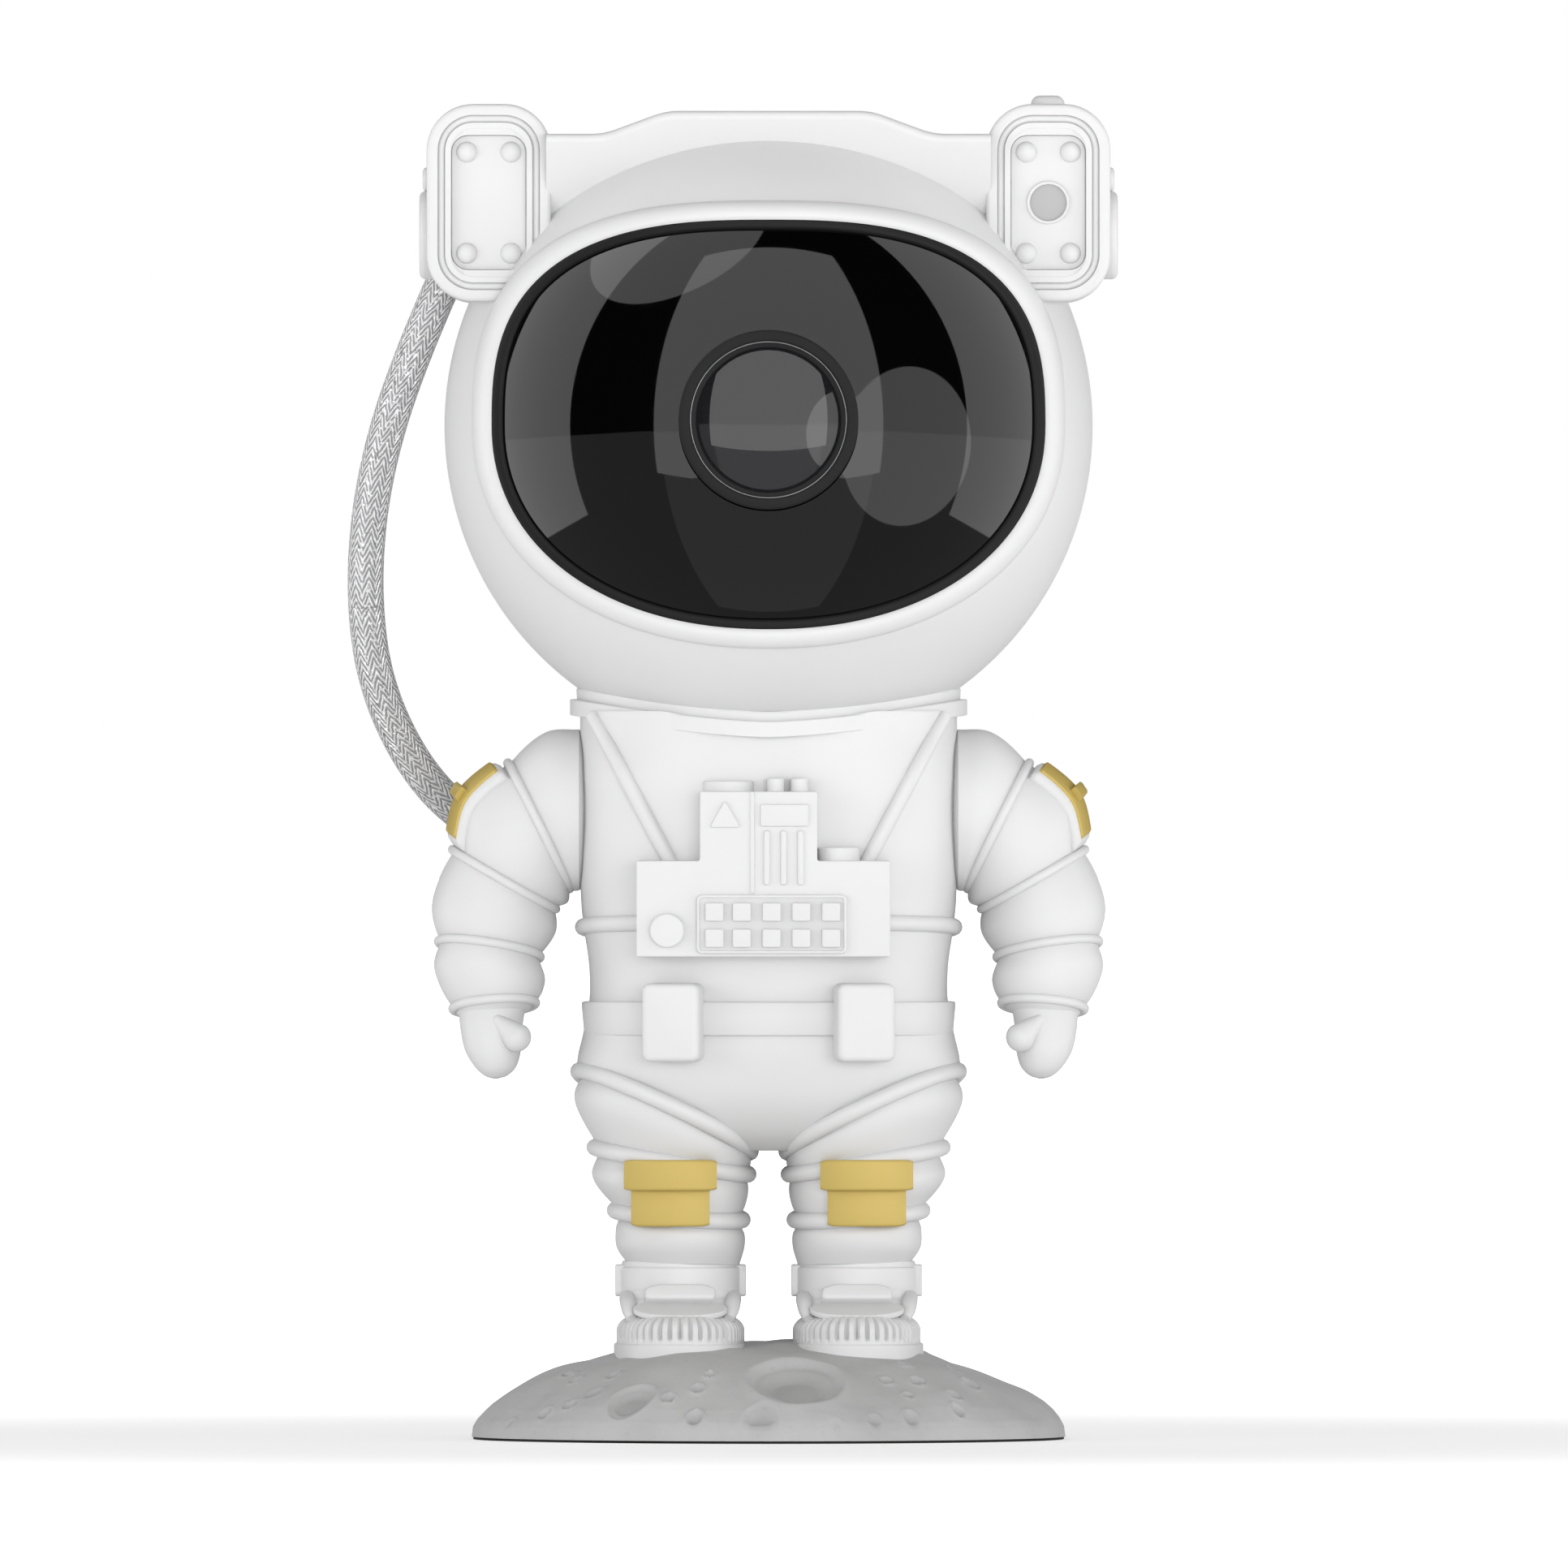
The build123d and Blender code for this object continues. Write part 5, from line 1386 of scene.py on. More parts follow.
# ---- torso
@dataclass
class Torso(Assembly):
    """Body of the suit: smooth trunk, braces, waist piping, belt with pouches, and collar."""

    head_z: float = 174.7
    top_z: float = 125.5
    sections: Sequence[tuple[float, float, float]] = (
        (49.8, 32.2, 9.0), (52.5, 32.6, 14.5), (56.0, 32.9, 18.6), (60.0, 33.0, 21.4),
        (65.4, 33.0, 23.3), (70.0, 32.0, 23.5), (76.0, 30.9, 23.5), (82.0, 31.0, 23.9),
        (88.3, 31.9, 24.6), (94.0, 32.4, 25.2), (104.0, 32.5, 25.8), (114.0, 32.5, 26.0),
        (125.5, 32.5, 26.0))
    power: float = 2.7
    shoulder_power: float = 3.3
    arm_boss: Sequence[tuple[float, float]] = ((8.0, 22.0), (10.0, 31.2), (13.4, 32.2), (13.85, 32.6))
    bowl: float = 57.6
    bowl_rows: Sequence[float] = (0.985, 0.93, 0.86, 0.76, 0.66, 0.55)
    well: tuple[float, float] = (17.0, 107.0)
    shoulder_z: float = 108.5
    waist_z: float = 88.3
    piping_radius: float = 1.4
    brace_radius: float = 1.3
    belt_z: float = 69.7
    belt_half: float = 30.5
    hip_outer: tuple[float, float] = (-32.8, 63.6)
    hip_inner: tuple[float, float] = (-3.1, 49.9)

    def half(self, z: float) -> tuple[float, float]:
        """Size of the trunk at a height.

        Args:
            z: The height.

        Returns:
            Half its width and half its depth.
        """
        table = np.array(self.sections)
        place = np.interp(z, table[:, 0], range(len(table)))
        return tuple(eased(table, np.array([place]))[0][1:])

    def front(self, x: float, z: float, lift: float = 0.0) -> Point:
        """Point on the chest.

        Args:
            x: Its place across.
            z: Its height.
            lift: Distance off the chest.

        Returns:
            The point.
        """
        wide, deep = self.half(z)
        power = self.power_at(z)
        share = max(0.0, 1 - (abs(x) / wide) ** power)
        return (x, -deep * share ** (1 / power) - lift, z)

    def power_at(self, z: float) -> float:
        """Squareness of the trunk's plan, which is greater between the shoulders."""
        return float(np.interp(z, (93.0, 102.0, 114.0, 121.0),
                               (self.power, self.shoulder_power, self.shoulder_power, self.power)))

    def under_head(self, plan: np.ndarray, z: float | np.ndarray) -> np.ndarray:
        """Row of points on a plan, held below the ball that clears the head."""
        room = np.maximum(self.bowl ** 2 - np.sum(plan ** 2, 1), 0.0)
        return np.column_stack([plan, np.minimum(z, self.head_z - np.sqrt(room))])

    def oval(self, wide: float, deep: float, steps: int = 128,
             power: float | None = None) -> np.ndarray:
        """Plan of the trunk.

        Args:
            wide: Half its width.
            deep: Half its depth.
            steps: Its points.
            power: Its squareness, unless the trunk's own.

        Returns:
            The points, x and y.
        """
        across, along = squared(lap(steps), 2 / (power or self.power))
        return np.stack([wide * across, deep * along], 1)

    def hip_line(self, x: np.ndarray) -> np.ndarray:
        """Hip seam, the same on both sides.

        Args:
            x: Places across.

        Returns:
            The seam's heights.
        """
        (ox, oz), (ix, iz) = self.hip_outer, self.hip_inner
        share = np.clip((-np.abs(x) - ix) / (ox - ix), 0, 1)
        return iz + (oz - iz) * share

    def build(self) -> None:
        """Make the trunk and all that is on it."""
        work = Workpiece()
        table = np.array(self.sections)
        rows = []
        for z, wide, deep in eased(table, np.linspace(0, len(table) - 1, 73)):
            plan = self.oval(wide, deep, power=self.power_at(z))
            rows.append(self.under_head(plan, np.maximum(z, self.hip_line(plan[:, 0]) - 0.6)))
        _, wide, deep = self.sections[-1]
        for reach in self.bowl_rows:
            rows.append(self.under_head(self.oval(wide * reach, deep * reach), self.top_z))
        radius, floor = self.well
        plan = self.oval(radius, radius)
        rows.append(np.column_stack([plan, np.full(len(plan), floor)]))
        work.skin(rows)
        for side in Side:
            bed = Bed((0.0, 0.0, self.shoulder_z), (0.0, float(side.value), 0.0))
            work.skin([bed.lift(disc(reach, steps=96), out) for reach, out in self.arm_boss])
        self.bench.make(work, "suit_trunk", Slot.WHITE, "stand",
                   ["torso_front_shell", "torso_back_shell"], 50)
        self.trim()
        self.belt()
        self.collar()
        for node, slot in (("neck_post", Slot.WHITE), ("torso_screws", Slot.SCREW),
                           ("swivel_cup", Slot.WHITE), ("holding_magnet", Slot.MAGNET)):
            self.bench.dress(node, slot)

    def trim(self) -> None:
        """Braces from the collar to the chest panel, and piping round the waist."""
        wide, deep = self.half(self.waist_z)
        plan = self.oval(wide + 0.15, deep + 0.15, 96)
        waist = np.column_stack([plan, self.waist_z - 0.9 * plan[:, 1] / deep])
        self.bench.pipe("waist_piping", [waist], self.piping_radius, "stand")
        braces = []
        for side in Side:
            steps = np.linspace(0, 1, 24)
            braces.append(np.array([self.front(side.value * (30.2 - 13.6 * share),
                                               124.6 - 25.6 * share, 0.25) for share in steps]))
        self.bench.pipe("braces", braces, self.brace_radius, "stand", False)

    def belt(self) -> None:
        """Flat belt with two boxy pouches turned a little outwards."""
        work = Workpiece()
        rows = []
        for rise, out in ((0.0, -1.0), (0.0, 0.8), (0.1, 1.15), (0.4, 1.3), (5.4, 1.3),
                          (5.7, 1.15), (5.8, 0.8), (5.8, -1.0)):
            z = self.belt_z + rise
            wide = self.belt_half + 0.5 * rise / 5.8
            plan = self.oval(wide + out, self.half(z)[1] + out)
            rows.append(np.column_stack([plan, np.full(len(plan), z)]))
        work.skin(rows, rejoin=True)
        self.bench.make(work, "waist_belt", Slot.WHITE, "stand", ["belt"])
        pouches = Workpiece()
        turn = math.radians(7.0)
        for side in Side:
            across = (math.cos(turn), side.value * math.sin(turn), 0.0)
            bed = Bed((side.value * 15.85, -21.5, 72.0), across)
            pouches.slab(oblong(9.9, 13.5, 1.4), bed, -4.0, 8.6, 1.0, 5)
        self.bench.make(pouches, "belt_pouches", Slot.WHITE, "stand")

    def collar(self) -> None:
        """Two stacked rings that dip in front and behind, where the head sits."""
        ring = disc(1.0, steps=160)
        dip = np.abs(ring[:, 0]) ** 1.5
        work = Workpiece()
        parts = (
            (((32.6, -1.9), (34.1, -1.85), (34.25, -1.7), (34.25, 0.75), (34.1, 0.9),
              (32.6, 0.95)), (122.8, 3.9)),
            (((31.6, 0.4), (32.9, 0.5), (33.05, 0.8), (33.15, 2.55), (33.0, 2.8), (31.9, 2.9),
              (31.6, 2.6)), (122.6, 4.1)),
        )
        for profile, (front, lift) in parts:
            rows = []
            for reach, rise in profile:
                plan = ring * [reach, reach - 6.4]
                rows.append(np.column_stack([plan, front + lift * dip + rise]))
            work.skin(np.array(rows).transpose(1, 0, 2), rejoin=True)
        self.bench.make(work, "collar_bands", Slot.WHITE, "stand", ["collar_ring"])


# ---- chest panel
@dataclass
class ChestPanel(Assembly):
    """Stepped control box on the chest with its knobs, bars, keypad and emblem."""

    face: float = 31.0
    back: float = 14.0
    low: float = 83.3
    step: float = 99.8
    high: float = 111.7
    key_columns: Sequence[float] = (-9.3, -4.6, 0.53, 5.63, 10.75)
    key_rows: Sequence[float] = (86.5, 91.0)

    def build(self) -> None:
        """Make the box and what stands on it."""
        box = Workpiece()
        outline = rounded([(-22.7, self.low), (20.9, self.low), (20.9, self.step),
                           (8.4, self.step), (8.4, self.high), (-11.8, self.high),
                           (-11.8, self.step), (-22.7, self.step)], 0.34, 4)
        box.slab(outline, FRONT, self.back, self.face, 0.28)
        for x, radius, deep, base, top in ((1.25, 1.5, 3.0, self.high, 114.0),
                                           (5.3, 1.5, 3.0, self.high, 114.0),
                                           (12.05, 3.65, 4.8, self.step, 102.1)):
            box.slab(disc(radius, (x, deep - self.face)), GROUND, base - 2, top, 0.3)
        turn = lap(48)
        lid = np.stack([-6.85 + 4.35 * np.cos(turn), 5.2 - self.face + 3.2 * np.sin(turn)], 1)
        box.slab(lid, GROUND, self.high - 2, 113.5, 0.3)
        self.bench.make(box, "chest_box", Slot.WHITE, "stand", ["chest_panel"])
        self.fittings()
        self.keypad()

    def fittings(self) -> None:
        """Emblem, screen, sliders, knob and the rib beside them."""
        work = Workpiece()
        face = self.face
        plates = [(rounded([(-10.15, 105.5), (-4.85, 105.5), (-7.5, 110.25)], 0.3, 4), 0.6, 0.22),
                  (oblong(8.3, 3.8, 0.35, (2.75, 107.6)), 0.6, 0.25)]
        plates += [(oblong(1.1, 9.4, 0.4, (x, 100.3)), 0.55, 0.3) for x in (-0.3, 2.6, 5.5)]
        plates += [(oblong(0.8, 17.6, 0.39, (-2.8, 102.9)), 0.3, 0.2),
                   (disc(2.94, (-17.45, 87.8), 56), 1.3, 0.35)]
        for outline, proud, edge in plates:
            work.slab(outline, FRONT, face - 0.5, face + proud, edge)
        self.bench.make(work, "chest_fittings", Slot.WHITE, "stand")

    def keypad(self) -> None:
        """Raised frame, sunken field and ten square keys."""
        work = Workpiece()
        face, top = self.face, self.face + 0.9
        rim = oblong(25.8, 10.1, 0.95, (0.55, 88.9), 8)
        work.skin([FRONT.lift(inset(rim, cut), height) for cut, height in (
            (0.0, face - 0.5), (0.0, top - 0.2), (0.08, top - 0.06), (0.2, top), (0.42, top),
            (0.5, top - 0.08), (0.55, top - 0.22))])
        self.bench.make(work, "keypad_frame", Slot.WHITE, "stand", ["chest_keypad"])
        carrier = bpy.data.meshes.new("key_places")
        places = [(x * MM, -(top - 0.3) * MM, z * MM) for x in self.key_columns
                  for z in self.key_rows]
        carrier.from_pydata(places, [], [])
        key = Workpiece()
        key.slab(oblong(3.15, 3.15, 0.3), FRONT, 0.0, 0.85, 0.22)
        keys = KeyGrid(self.bench.materials[Slot.WHITE], key)
        mesh = keys.grow(carrier, "keypad_keys")
        self.bench.place("keypad_keys", mesh, Slot.WHITE, "stand")


class KeyGrid(Grower):
    """One key cap on each point of the carrier."""

    def __init__(self, material: bpy.types.Material, cap: Workpiece) -> None:
        """Build the tree.

        Args:
            material: Its finish.
            cap: One key cap.
        """
        super().__init__("key_tree", {"Size": 1.0}, material)
        mesh = bpy.data.meshes.new("key_cap")
        mesh.from_pydata((np.vstack(cap.points) * MM).tolist(), [], cap.faces)
        mesh.shade_smooth()
        mesh.set_sharp_from_angle(angle=math.radians(32))
        self.cap = bpy.data.objects.new("key_cap", mesh)
        model = self.node("GeometryNodeObjectInfo", Object=self.cap)
        size = self.node("ShaderNodeCombineXYZ", X=self.entry.outputs["Size"],
                         Y=self.entry.outputs["Size"], Z=self.entry.outputs["Size"])
        caps = self.node("GeometryNodeInstanceOnPoints", Points=self.entry.outputs[0],
                         Instance=model.outputs["Geometry"], Scale=size.outputs[0])
        self.close(caps.outputs[0])


# ---- arms
ARM_STATIONS = (
    Station((-32.63, 122.4), (-32.63, 94.6), 13.9),
    Station((-38.5, 121.9), (-33.4, 94.5), 13.8),
    Station((-45.2, 117.0), (-34.1, 94.5), 12.8, 0.0, 0.6),
    Station((-52.6, 110.6), (-34.6, 92.6), 12.6, 0.0, 0.2),
    Station((-54.9, 101.9), (-36.3, 91.2), 11.6, 0.6, -0.2),
    Station((-58.0, 92.8), (-36.7, 87.4), 11.2, 1.8, 0.7),
    Station((-57.4, 85.9), (-38.9, 83.1), 10.0, 3.2, 1.3),
    Station((-57.6, 80.8), (-38.5, 79.0), 9.6, 4.2, 1.3),
    Station((-54.9, 74.2), (-39.7, 75.3), 8.0, 5.4, 1.3),
    Station((-53.6, 73.0), (-41.6, 73.6), 6.2, 5.6, 0.8),
)
HAND_STATIONS = (
    Station((-53.4, 74.2), (-41.8, 75.1), 5.8, 5.6),
    Station((-53.1, 70.6), (-42.4, 71.0), 6.2, 6.2),
    Station((-52.3, 67.0), (-42.6, 67.4), 6.0, 6.9),
    Station((-50.6, 64.2), (-43.4, 64.4), 4.6, 7.6),
    Station((-48.9, 62.7), (-44.9, 62.8), 2.6, 7.9),
    Station((-47.4, 62.2), (-46.6, 62.2), 0.5, 8.0),
)


@dataclass
class Arm(Sided):
    """Padded sleeve with four rings of piping, a mitten, and a gold patch on the shoulder."""

    rings: Sequence[int] = (2, 4, 6, 8)
    piping_lift: float = 0.3
    piping_radius: float = 0.8
    tab: Profile = ((2.86, 1.2), (2.88, 2.6), (2.92, 2.8), (3.08, 2.8), (3.12, 2.6), (3.14, 1.2))
    tab_reach: tuple[float, float] = (2, 25)
    limb: Limb = field(init=False)
    hand: Limb = field(init=False)

    def __post_init__(self) -> None:
        """Set the sleeve and the mitten up."""
        self.limb = Limb(ARM_STATIONS, self.rings, self.side, 0.75, 1.7, 2.1)
        self.hand = Limb(HAND_STATIONS, (), self.side)

    @property
    def body(self) -> str:
        """The moving body's name."""
        return f"{self.side.word}_arm"

    def build(self) -> None:
        """Make the arm's pieces."""
        work = Workpiece()
        self.limb.sleeve(work)
        self.bench.make(work, f"{self.name}_sleeve", Slot.WHITE, self.body, [f"{self.name}_arm"], 60)
        loops = [self.limb.loop(place, self.piping_lift) for place in self.rings]
        self.bench.pipe(f"{self.name}_arm_piping", loops, self.piping_radius, self.body)
        mitten = Workpiece()
        self.hand.sleeve(mitten)
        out = -self.side.value
        mitten.capsule((-46.6 * out, -11.2, 72.2), (-43.4 * out, -12.2, 69.4), 1.2, 2.55)
        self.bench.make(mitten, f"{self.name}_mitten", Slot.WHITE, self.body, [f"{self.name}_hand"], 50)
        self.patch()
        self.bench.dress(f"{self.name}_arm_pivot", Slot.DARK)

    def wrap(self, work: Workpiece, start: float, end: float, reach: float, low: float,
             high: float, edge: float) -> None:
        """Plate that follows the sleeve's outer side.

        Args:
            work: Workpiece that gets the plate.
            start: Station where it starts.
            end: Station where it ends.
            reach: Half its angle round the sleeve, in degrees.
            low: Height of its underside off the sleeve.
            high: Height of its face.
            edge: Share of the plate over which its rim rounds off.
        """
        turns = np.radians(np.linspace(-reach, reach, 31))
        rows = []
        for share in np.linspace(0, 1, 29):
            place = start + (end - start) * share
            rim = np.minimum(np.minimum(share, 1 - share) / edge,
                             np.minimum(turns - turns[0], turns[-1] - turns) / (2 * edge * turns[-1]))
            bulge = np.sqrt(1 - (1 - np.clip(rim, 0, 1)) ** 2)
            upper = self.limb.loop(place, high, turns, False)
            lower = self.limb.loop(place, low, turns, False)
            face = lower + (upper - lower) * (0.35 + 0.65 * bulge)[:, None]
            rows.append(np.vstack([face, lower[::-1]]))
        work.skin(rows)

    def patch(self) -> None:
        """White frame, gold plate inside it and a small gold tab."""
        frame_work = Workpiece()
        self.wrap(frame_work, 2.14, 3.90, 39, -0.8, 1.15, 0.10)
        self.bench.make(frame_work, f"{self.name}_patch_frame", Slot.WHITE, self.body, crease=50)
        gold = Workpiece()
        self.wrap(gold, 2.22, 3.80, 33, 0.2, 1.6, 0.05)
        turns = np.radians(np.linspace(*self.tab_reach, 9))
        rows = [self.limb.loop(place, lift, turns, False) for place, lift in self.tab]
        lower = [self.limb.loop(place, 1.0, turns, False) for place in (2.80, 3.09)]
        gold.skin([np.vstack([row, low]) for row, low in zip(
            np.array(rows).transpose(1, 0, 2), np.array(lower).transpose(1, 0, 2)[:, ::-1])])
        self.bench.make(gold, f"{self.name}_shoulder_plate", Slot.GOLD, self.body,
                   [f"{self.name}_shoulder_patch"], 45)


# ---- head
@dataclass
class Head(Assembly):
    """Ball helmet with its visor, headband and pods."""

    centre_z: float = 174.7
    radius: float = 55.9
    half_width: float = 47.4
    rise: float = 34.9
    drop: float = 35.1
    power_top: float = 2.75
    power_bottom: float = 2.15
    steps: int = 192
    lens_z: float = 175.3
    lens_hole: float = 14.6
    lens_curve: float = 28.0
    lens_half: float = 12.4
    lens_front: float = 54.9
    lens_back: float = 50.6
    wall: float = 2.4
    flat_top: float = 51.0
    pane_depths: tuple[float, float] = (0.9, 2.6)
    rim: Profile = (
        (2.95, -0.4), (2.95, 0.45), (2.85, 0.8), (2.5, 1.15), (1.9, 1.4), (1.3, 1.5), (0.7, 1.4),
        (0.25, 1.1), (0.0, 0.7), (-0.1, 0.2), (-0.1, -0.6))
    seal: Profile = (
        (0.2, -1.0), (0.2, 0.2), (-0.1, 0.3), (-0.35, 0.18), (-0.7, -0.1), (-0.9, -0.3),
        (-1.0, -0.6), (-1.0, -1.6))
    bezel: Profile = (
        (15.4, 46.0), (15.4, 53.1), (15.3, 53.4), (15.0, 53.55), (13.9, 53.6), (13.6, 53.55),
        (13.45, 53.3), (13.4, 46.0))
    bright_ring: Profile = (
        (13.42, 52.9), (13.42, 53.35), (13.36, 53.4), (13.3, 53.35), (13.25, 52.9))
    seat: Profile = ((13.2, 51.0), (13.2, 52.9), (12.5, 52.7), (12.3, 52.2), (12.3, 51.0))

    def edge(self, grow: float) -> np.ndarray:
        """Visor outline about the head's centre.

        Args:
            grow: How far it is moved outwards.

        Returns:
            Evenly spaced points, x and z.
        """
        turn = lap(1440)
        above = np.sin(turn) >= 0
        across, along = squared(turn, 2 / np.where(above, self.power_top, self.power_bottom))
        x = (self.half_width + grow) * across
        z = (np.where(above, self.rise, self.drop) + grow) * along
        angle = np.unwrap(np.arctan2(z, x))
        wanted = np.linspace(angle[0], angle[0] + 2 * math.pi, self.steps, endpoint=False)
        return np.stack([np.interp(wanted, angle, x), np.interp(wanted, angle, z)], 1)

    def on_ball(self, outline: np.ndarray, radius: float) -> np.ndarray:
        """Lay an outline on a ball about the head's centre, at the front.

        Args:
            outline: Points, x and z.
            radius: The ball's radius.

        Returns:
            The points in space.
        """
        deep = np.sqrt(self.radius ** 2 - np.sum(outline ** 2, 1))
        points = np.column_stack([outline[:, 0], -deep, outline[:, 1]]) * radius / self.radius
        return points + [0.0, 0.0, self.centre_z]

    def swept(self, profile: Profile) -> list[np.ndarray]:
        """Rows round the visor, one for each (distance from its outline, height off the ball)."""
        return [self.on_ball(self.edge(grow), self.radius + lift) for grow, lift in profile]

    def build(self) -> None:
        """Make the helmet's front, its visor and dress the back."""
        self.shell()
        self.visor()
        for node, slot in (
                ("helmet_rear_shell", Slot.WHITE), ("helmet_screws", Slot.SCREW),
                ("seat_plate", Slot.SCREW), ("optics_chassis", Slot.DARK),
                ("projection_lens", Slot.LENS), ("drive_motor", Slot.SCREW),
                ("led_board", Slot.ALUMINIUM), ("laser_module", Slot.BRASS),
                ("control_board", Slot.CIRCUIT), ("control_panel", Slot.WHITE),
                ("usb_socket", Slot.SCREW), ("nebula_disc", Slot.LENS),
                ("motor_pinion", Slot.WHITE), ("power_button", Slot.KEY),
                ("nebula_button", Slot.KEY), ("star_button", Slot.KEY),
                ("hose_upper_socket", Slot.WHITE), ("hose_lower_socket", Slot.WHITE),
                ("backpack_shell", Slot.WHITE), ("backpack_cover", Slot.WHITE)):
            self.bench.dress(node, slot)

    def rays(self, grow: float, radius: float) -> tuple[np.ndarray, np.ndarray]:
        """Outward directions to the visor's outline, and how far each leans off the front.

        Args:
            grow: Distance from the outline.
            radius: Radius of the ball that it is laid on.

        Returns:
            Directions square to the front, and angles.
        """
        heading = unit(self.on_ball(self.edge(grow), radius) - [0, 0, self.centre_z])
        out = unit(np.stack([heading[:, 0], np.zeros(self.steps), heading[:, 2]], 1))
        return out, np.arccos(np.clip(-heading[:, 1], -1, 1))

    def row(self, radius: float, angle: np.ndarray, out: np.ndarray) -> np.ndarray:
        """Row of points on a ball about the origin.

        Args:
            radius: The ball's radius.
            angle: How far each leans off the front.
            out: Direction in which each leans.

        Returns:
            The points.
        """
        return radius * (np.sin(angle)[:, None] * out
                         - np.cos(angle)[:, None] * np.array([0, 1.0, 0]))

    def shell(self) -> None:
        """Front half of the helmet, from the visor's rim to the seam, with its wall."""
        work = Workpiece()
        rows = []
        for radius, inner in ((self.radius, False), (self.radius - self.wall, True)):
            out, lean = self.rays(1.2, radius)
            band = []
            for share in np.linspace(0, 1, 40):
                ball = self.row(radius, lean + share * (math.pi / 2 - lean), out)
                ball[:, 2] = np.minimum(ball[:, 2], self.flat_top + (radius - self.radius))
                band.append(ball + [0, 0, self.centre_z])
            rows += band[::-1] if inner else band
        work.skin(rows, rejoin=True)
        self.bench.make(work, "helmet_front", Slot.WHITE, "head", ["helmet_front_shell"], 50)

    def visor(self) -> None:
        """White rim, black gasket, smoked glass and the lens that looks out of it."""
        rim = Workpiece()
        rim.skin(self.swept(self.rim), rejoin=True)
        self.bench.make(rim, "visor_surround", Slot.WHITE, "head", ["visor_rim"], 50)
        seal = Workpiece()
        seal.skin(self.swept(self.seal), rejoin=True)
        self.bench.make(seal, "visor_seal", Slot.RUBBER, "head", ["visor_gasket"], 60)
        glass = Workpiece()
        rows = []
        shares = np.linspace(0.02, 1, 34)
        for depth, order in zip(self.pane_depths, (shares, shares[::-1])):
            radius = self.radius - depth
            out, lean = self.rays(-0.3, radius)
            hole = math.asin(self.lens_hole / radius)
            rows += [self.row(radius, hole + (lean - hole) * share, out) + [0, 0, self.centre_z]
                     for share in order]
        glass.skin(rows, rejoin=True)
        self.bench.make(glass, "visor_pane", Slot.VISOR, "head", ["visor_glass"], 60)
        self.eye()

    def turned(self, profile: Profile, steps: int = 128) -> Workpiece:
        """Ring turned about the lens axis.

        Args:
            profile: Its section, radius and depth.
            steps: Points round it.

        Returns:
            The ring.
        """
        turn = lap(steps)
        rows = [np.column_stack([reach * np.cos(turn), np.full(steps, -deep),
                                 reach * np.sin(turn) + self.lens_z]) for reach, deep in profile]
        work = Workpiece()
        work.skin(rows, rejoin=True)
        return work

    def eye(self) -> None:
        """Lens bezel in the visor's hole, its thin bright ring, and the domed cover lens."""
        profile = [(reach, self.lens_front - self.lens_curve
                    + math.sqrt(self.lens_curve ** 2 - reach ** 2))
                   for reach in np.linspace(0.02, self.lens_half, 26)]
        profile += [(reach, self.lens_back) for reach in (self.lens_half, 8.0, 4.0, 0.02)]
        for name, section, slot in (
                ("lens_bezel", self.bezel, Slot.DARK), ("lens_ring", self.bright_ring, Slot.SCREW),
                ("lens_seat", self.seat, Slot.DARK), ("lens_cover", profile, Slot.LENS)):
            self.bench.make(self.turned(section), name, slot, "head", crease=50)


@dataclass
class Headband(Assembly):
    """Wall over the crown from pod to pod, higher in the middle, cut to the ball below."""

    head: Head
    shoulder: float = 50.0
    crest: float = 53.9
    flat_half: float = 17.6
    slope_half: float = 28.3
    end: float = 38.2
    lean_front: float = 29.3
    lean_back: float = 25.0
    lean_end: float = 9.0
    corner: float = 1.1
    corner_steps: int = 6

    def top(self, x: float) -> float:
        """Top of the band, with softened bends.

        Args:
            x: Place across.

        Returns:
            Its height above the head's centre.
        """
        levels = []
        for shift in np.linspace(-2.0, 2.0, 13):
            share = (self.slope_half - abs(x + shift)) / (self.slope_half - self.flat_half)
            levels.append(self.shoulder + (self.crest - self.shoulder) * min(1.0, max(0.0, share)))
        return sum(levels) / len(levels)

    def build(self) -> None:
        """Make the band."""
        work = Workpiece()
        rows = []
        for x in np.linspace(-self.end, self.end, 121):
            ball = math.sqrt((self.head.radius - 0.35) ** 2 - x ** 2)
            top = self.top(x)
            lean_back = float(np.interp(abs(x), (self.flat_half, self.end),
                                        (self.lean_back, self.lean_end)))
            front = math.tan(math.radians(self.lean_front))
            back = math.tan(math.radians(lean_back))
            low_front = ball * math.cos(math.radians(self.lean_front))
            low_back = ball * math.cos(math.radians(lean_back))
            corners = [(-low_front * front, low_front), (-top * front, top), (top * back, top),
                       (low_back * back, low_back)]
            section = rounded(corners[::-1], self.corner, self.corner_steps)
            lower = []
            for lean in np.linspace(-self.lean_front, lean_back, 17)[1:-1]:
                y = ball * math.sin(math.radians(lean))
                lower.append((y, min(ball * math.cos(math.radians(lean)), self.shoulder + 0.5)))
            arcs = self.corner_steps + 1
            loop = np.vstack([section[arcs:arcs * 3], [(-low_front * front, low_front)],
                              np.array(lower), [(low_back * back, low_back)]])
            rows.append(np.column_stack([np.full(len(loop), x), loop[:, 0],
                                         loop[:, 1] + self.head.centre_z]))
        work.skin(rows)
        self.bench.make(work, "crown_band", Slot.WHITE, "head", ["headband"], 40)


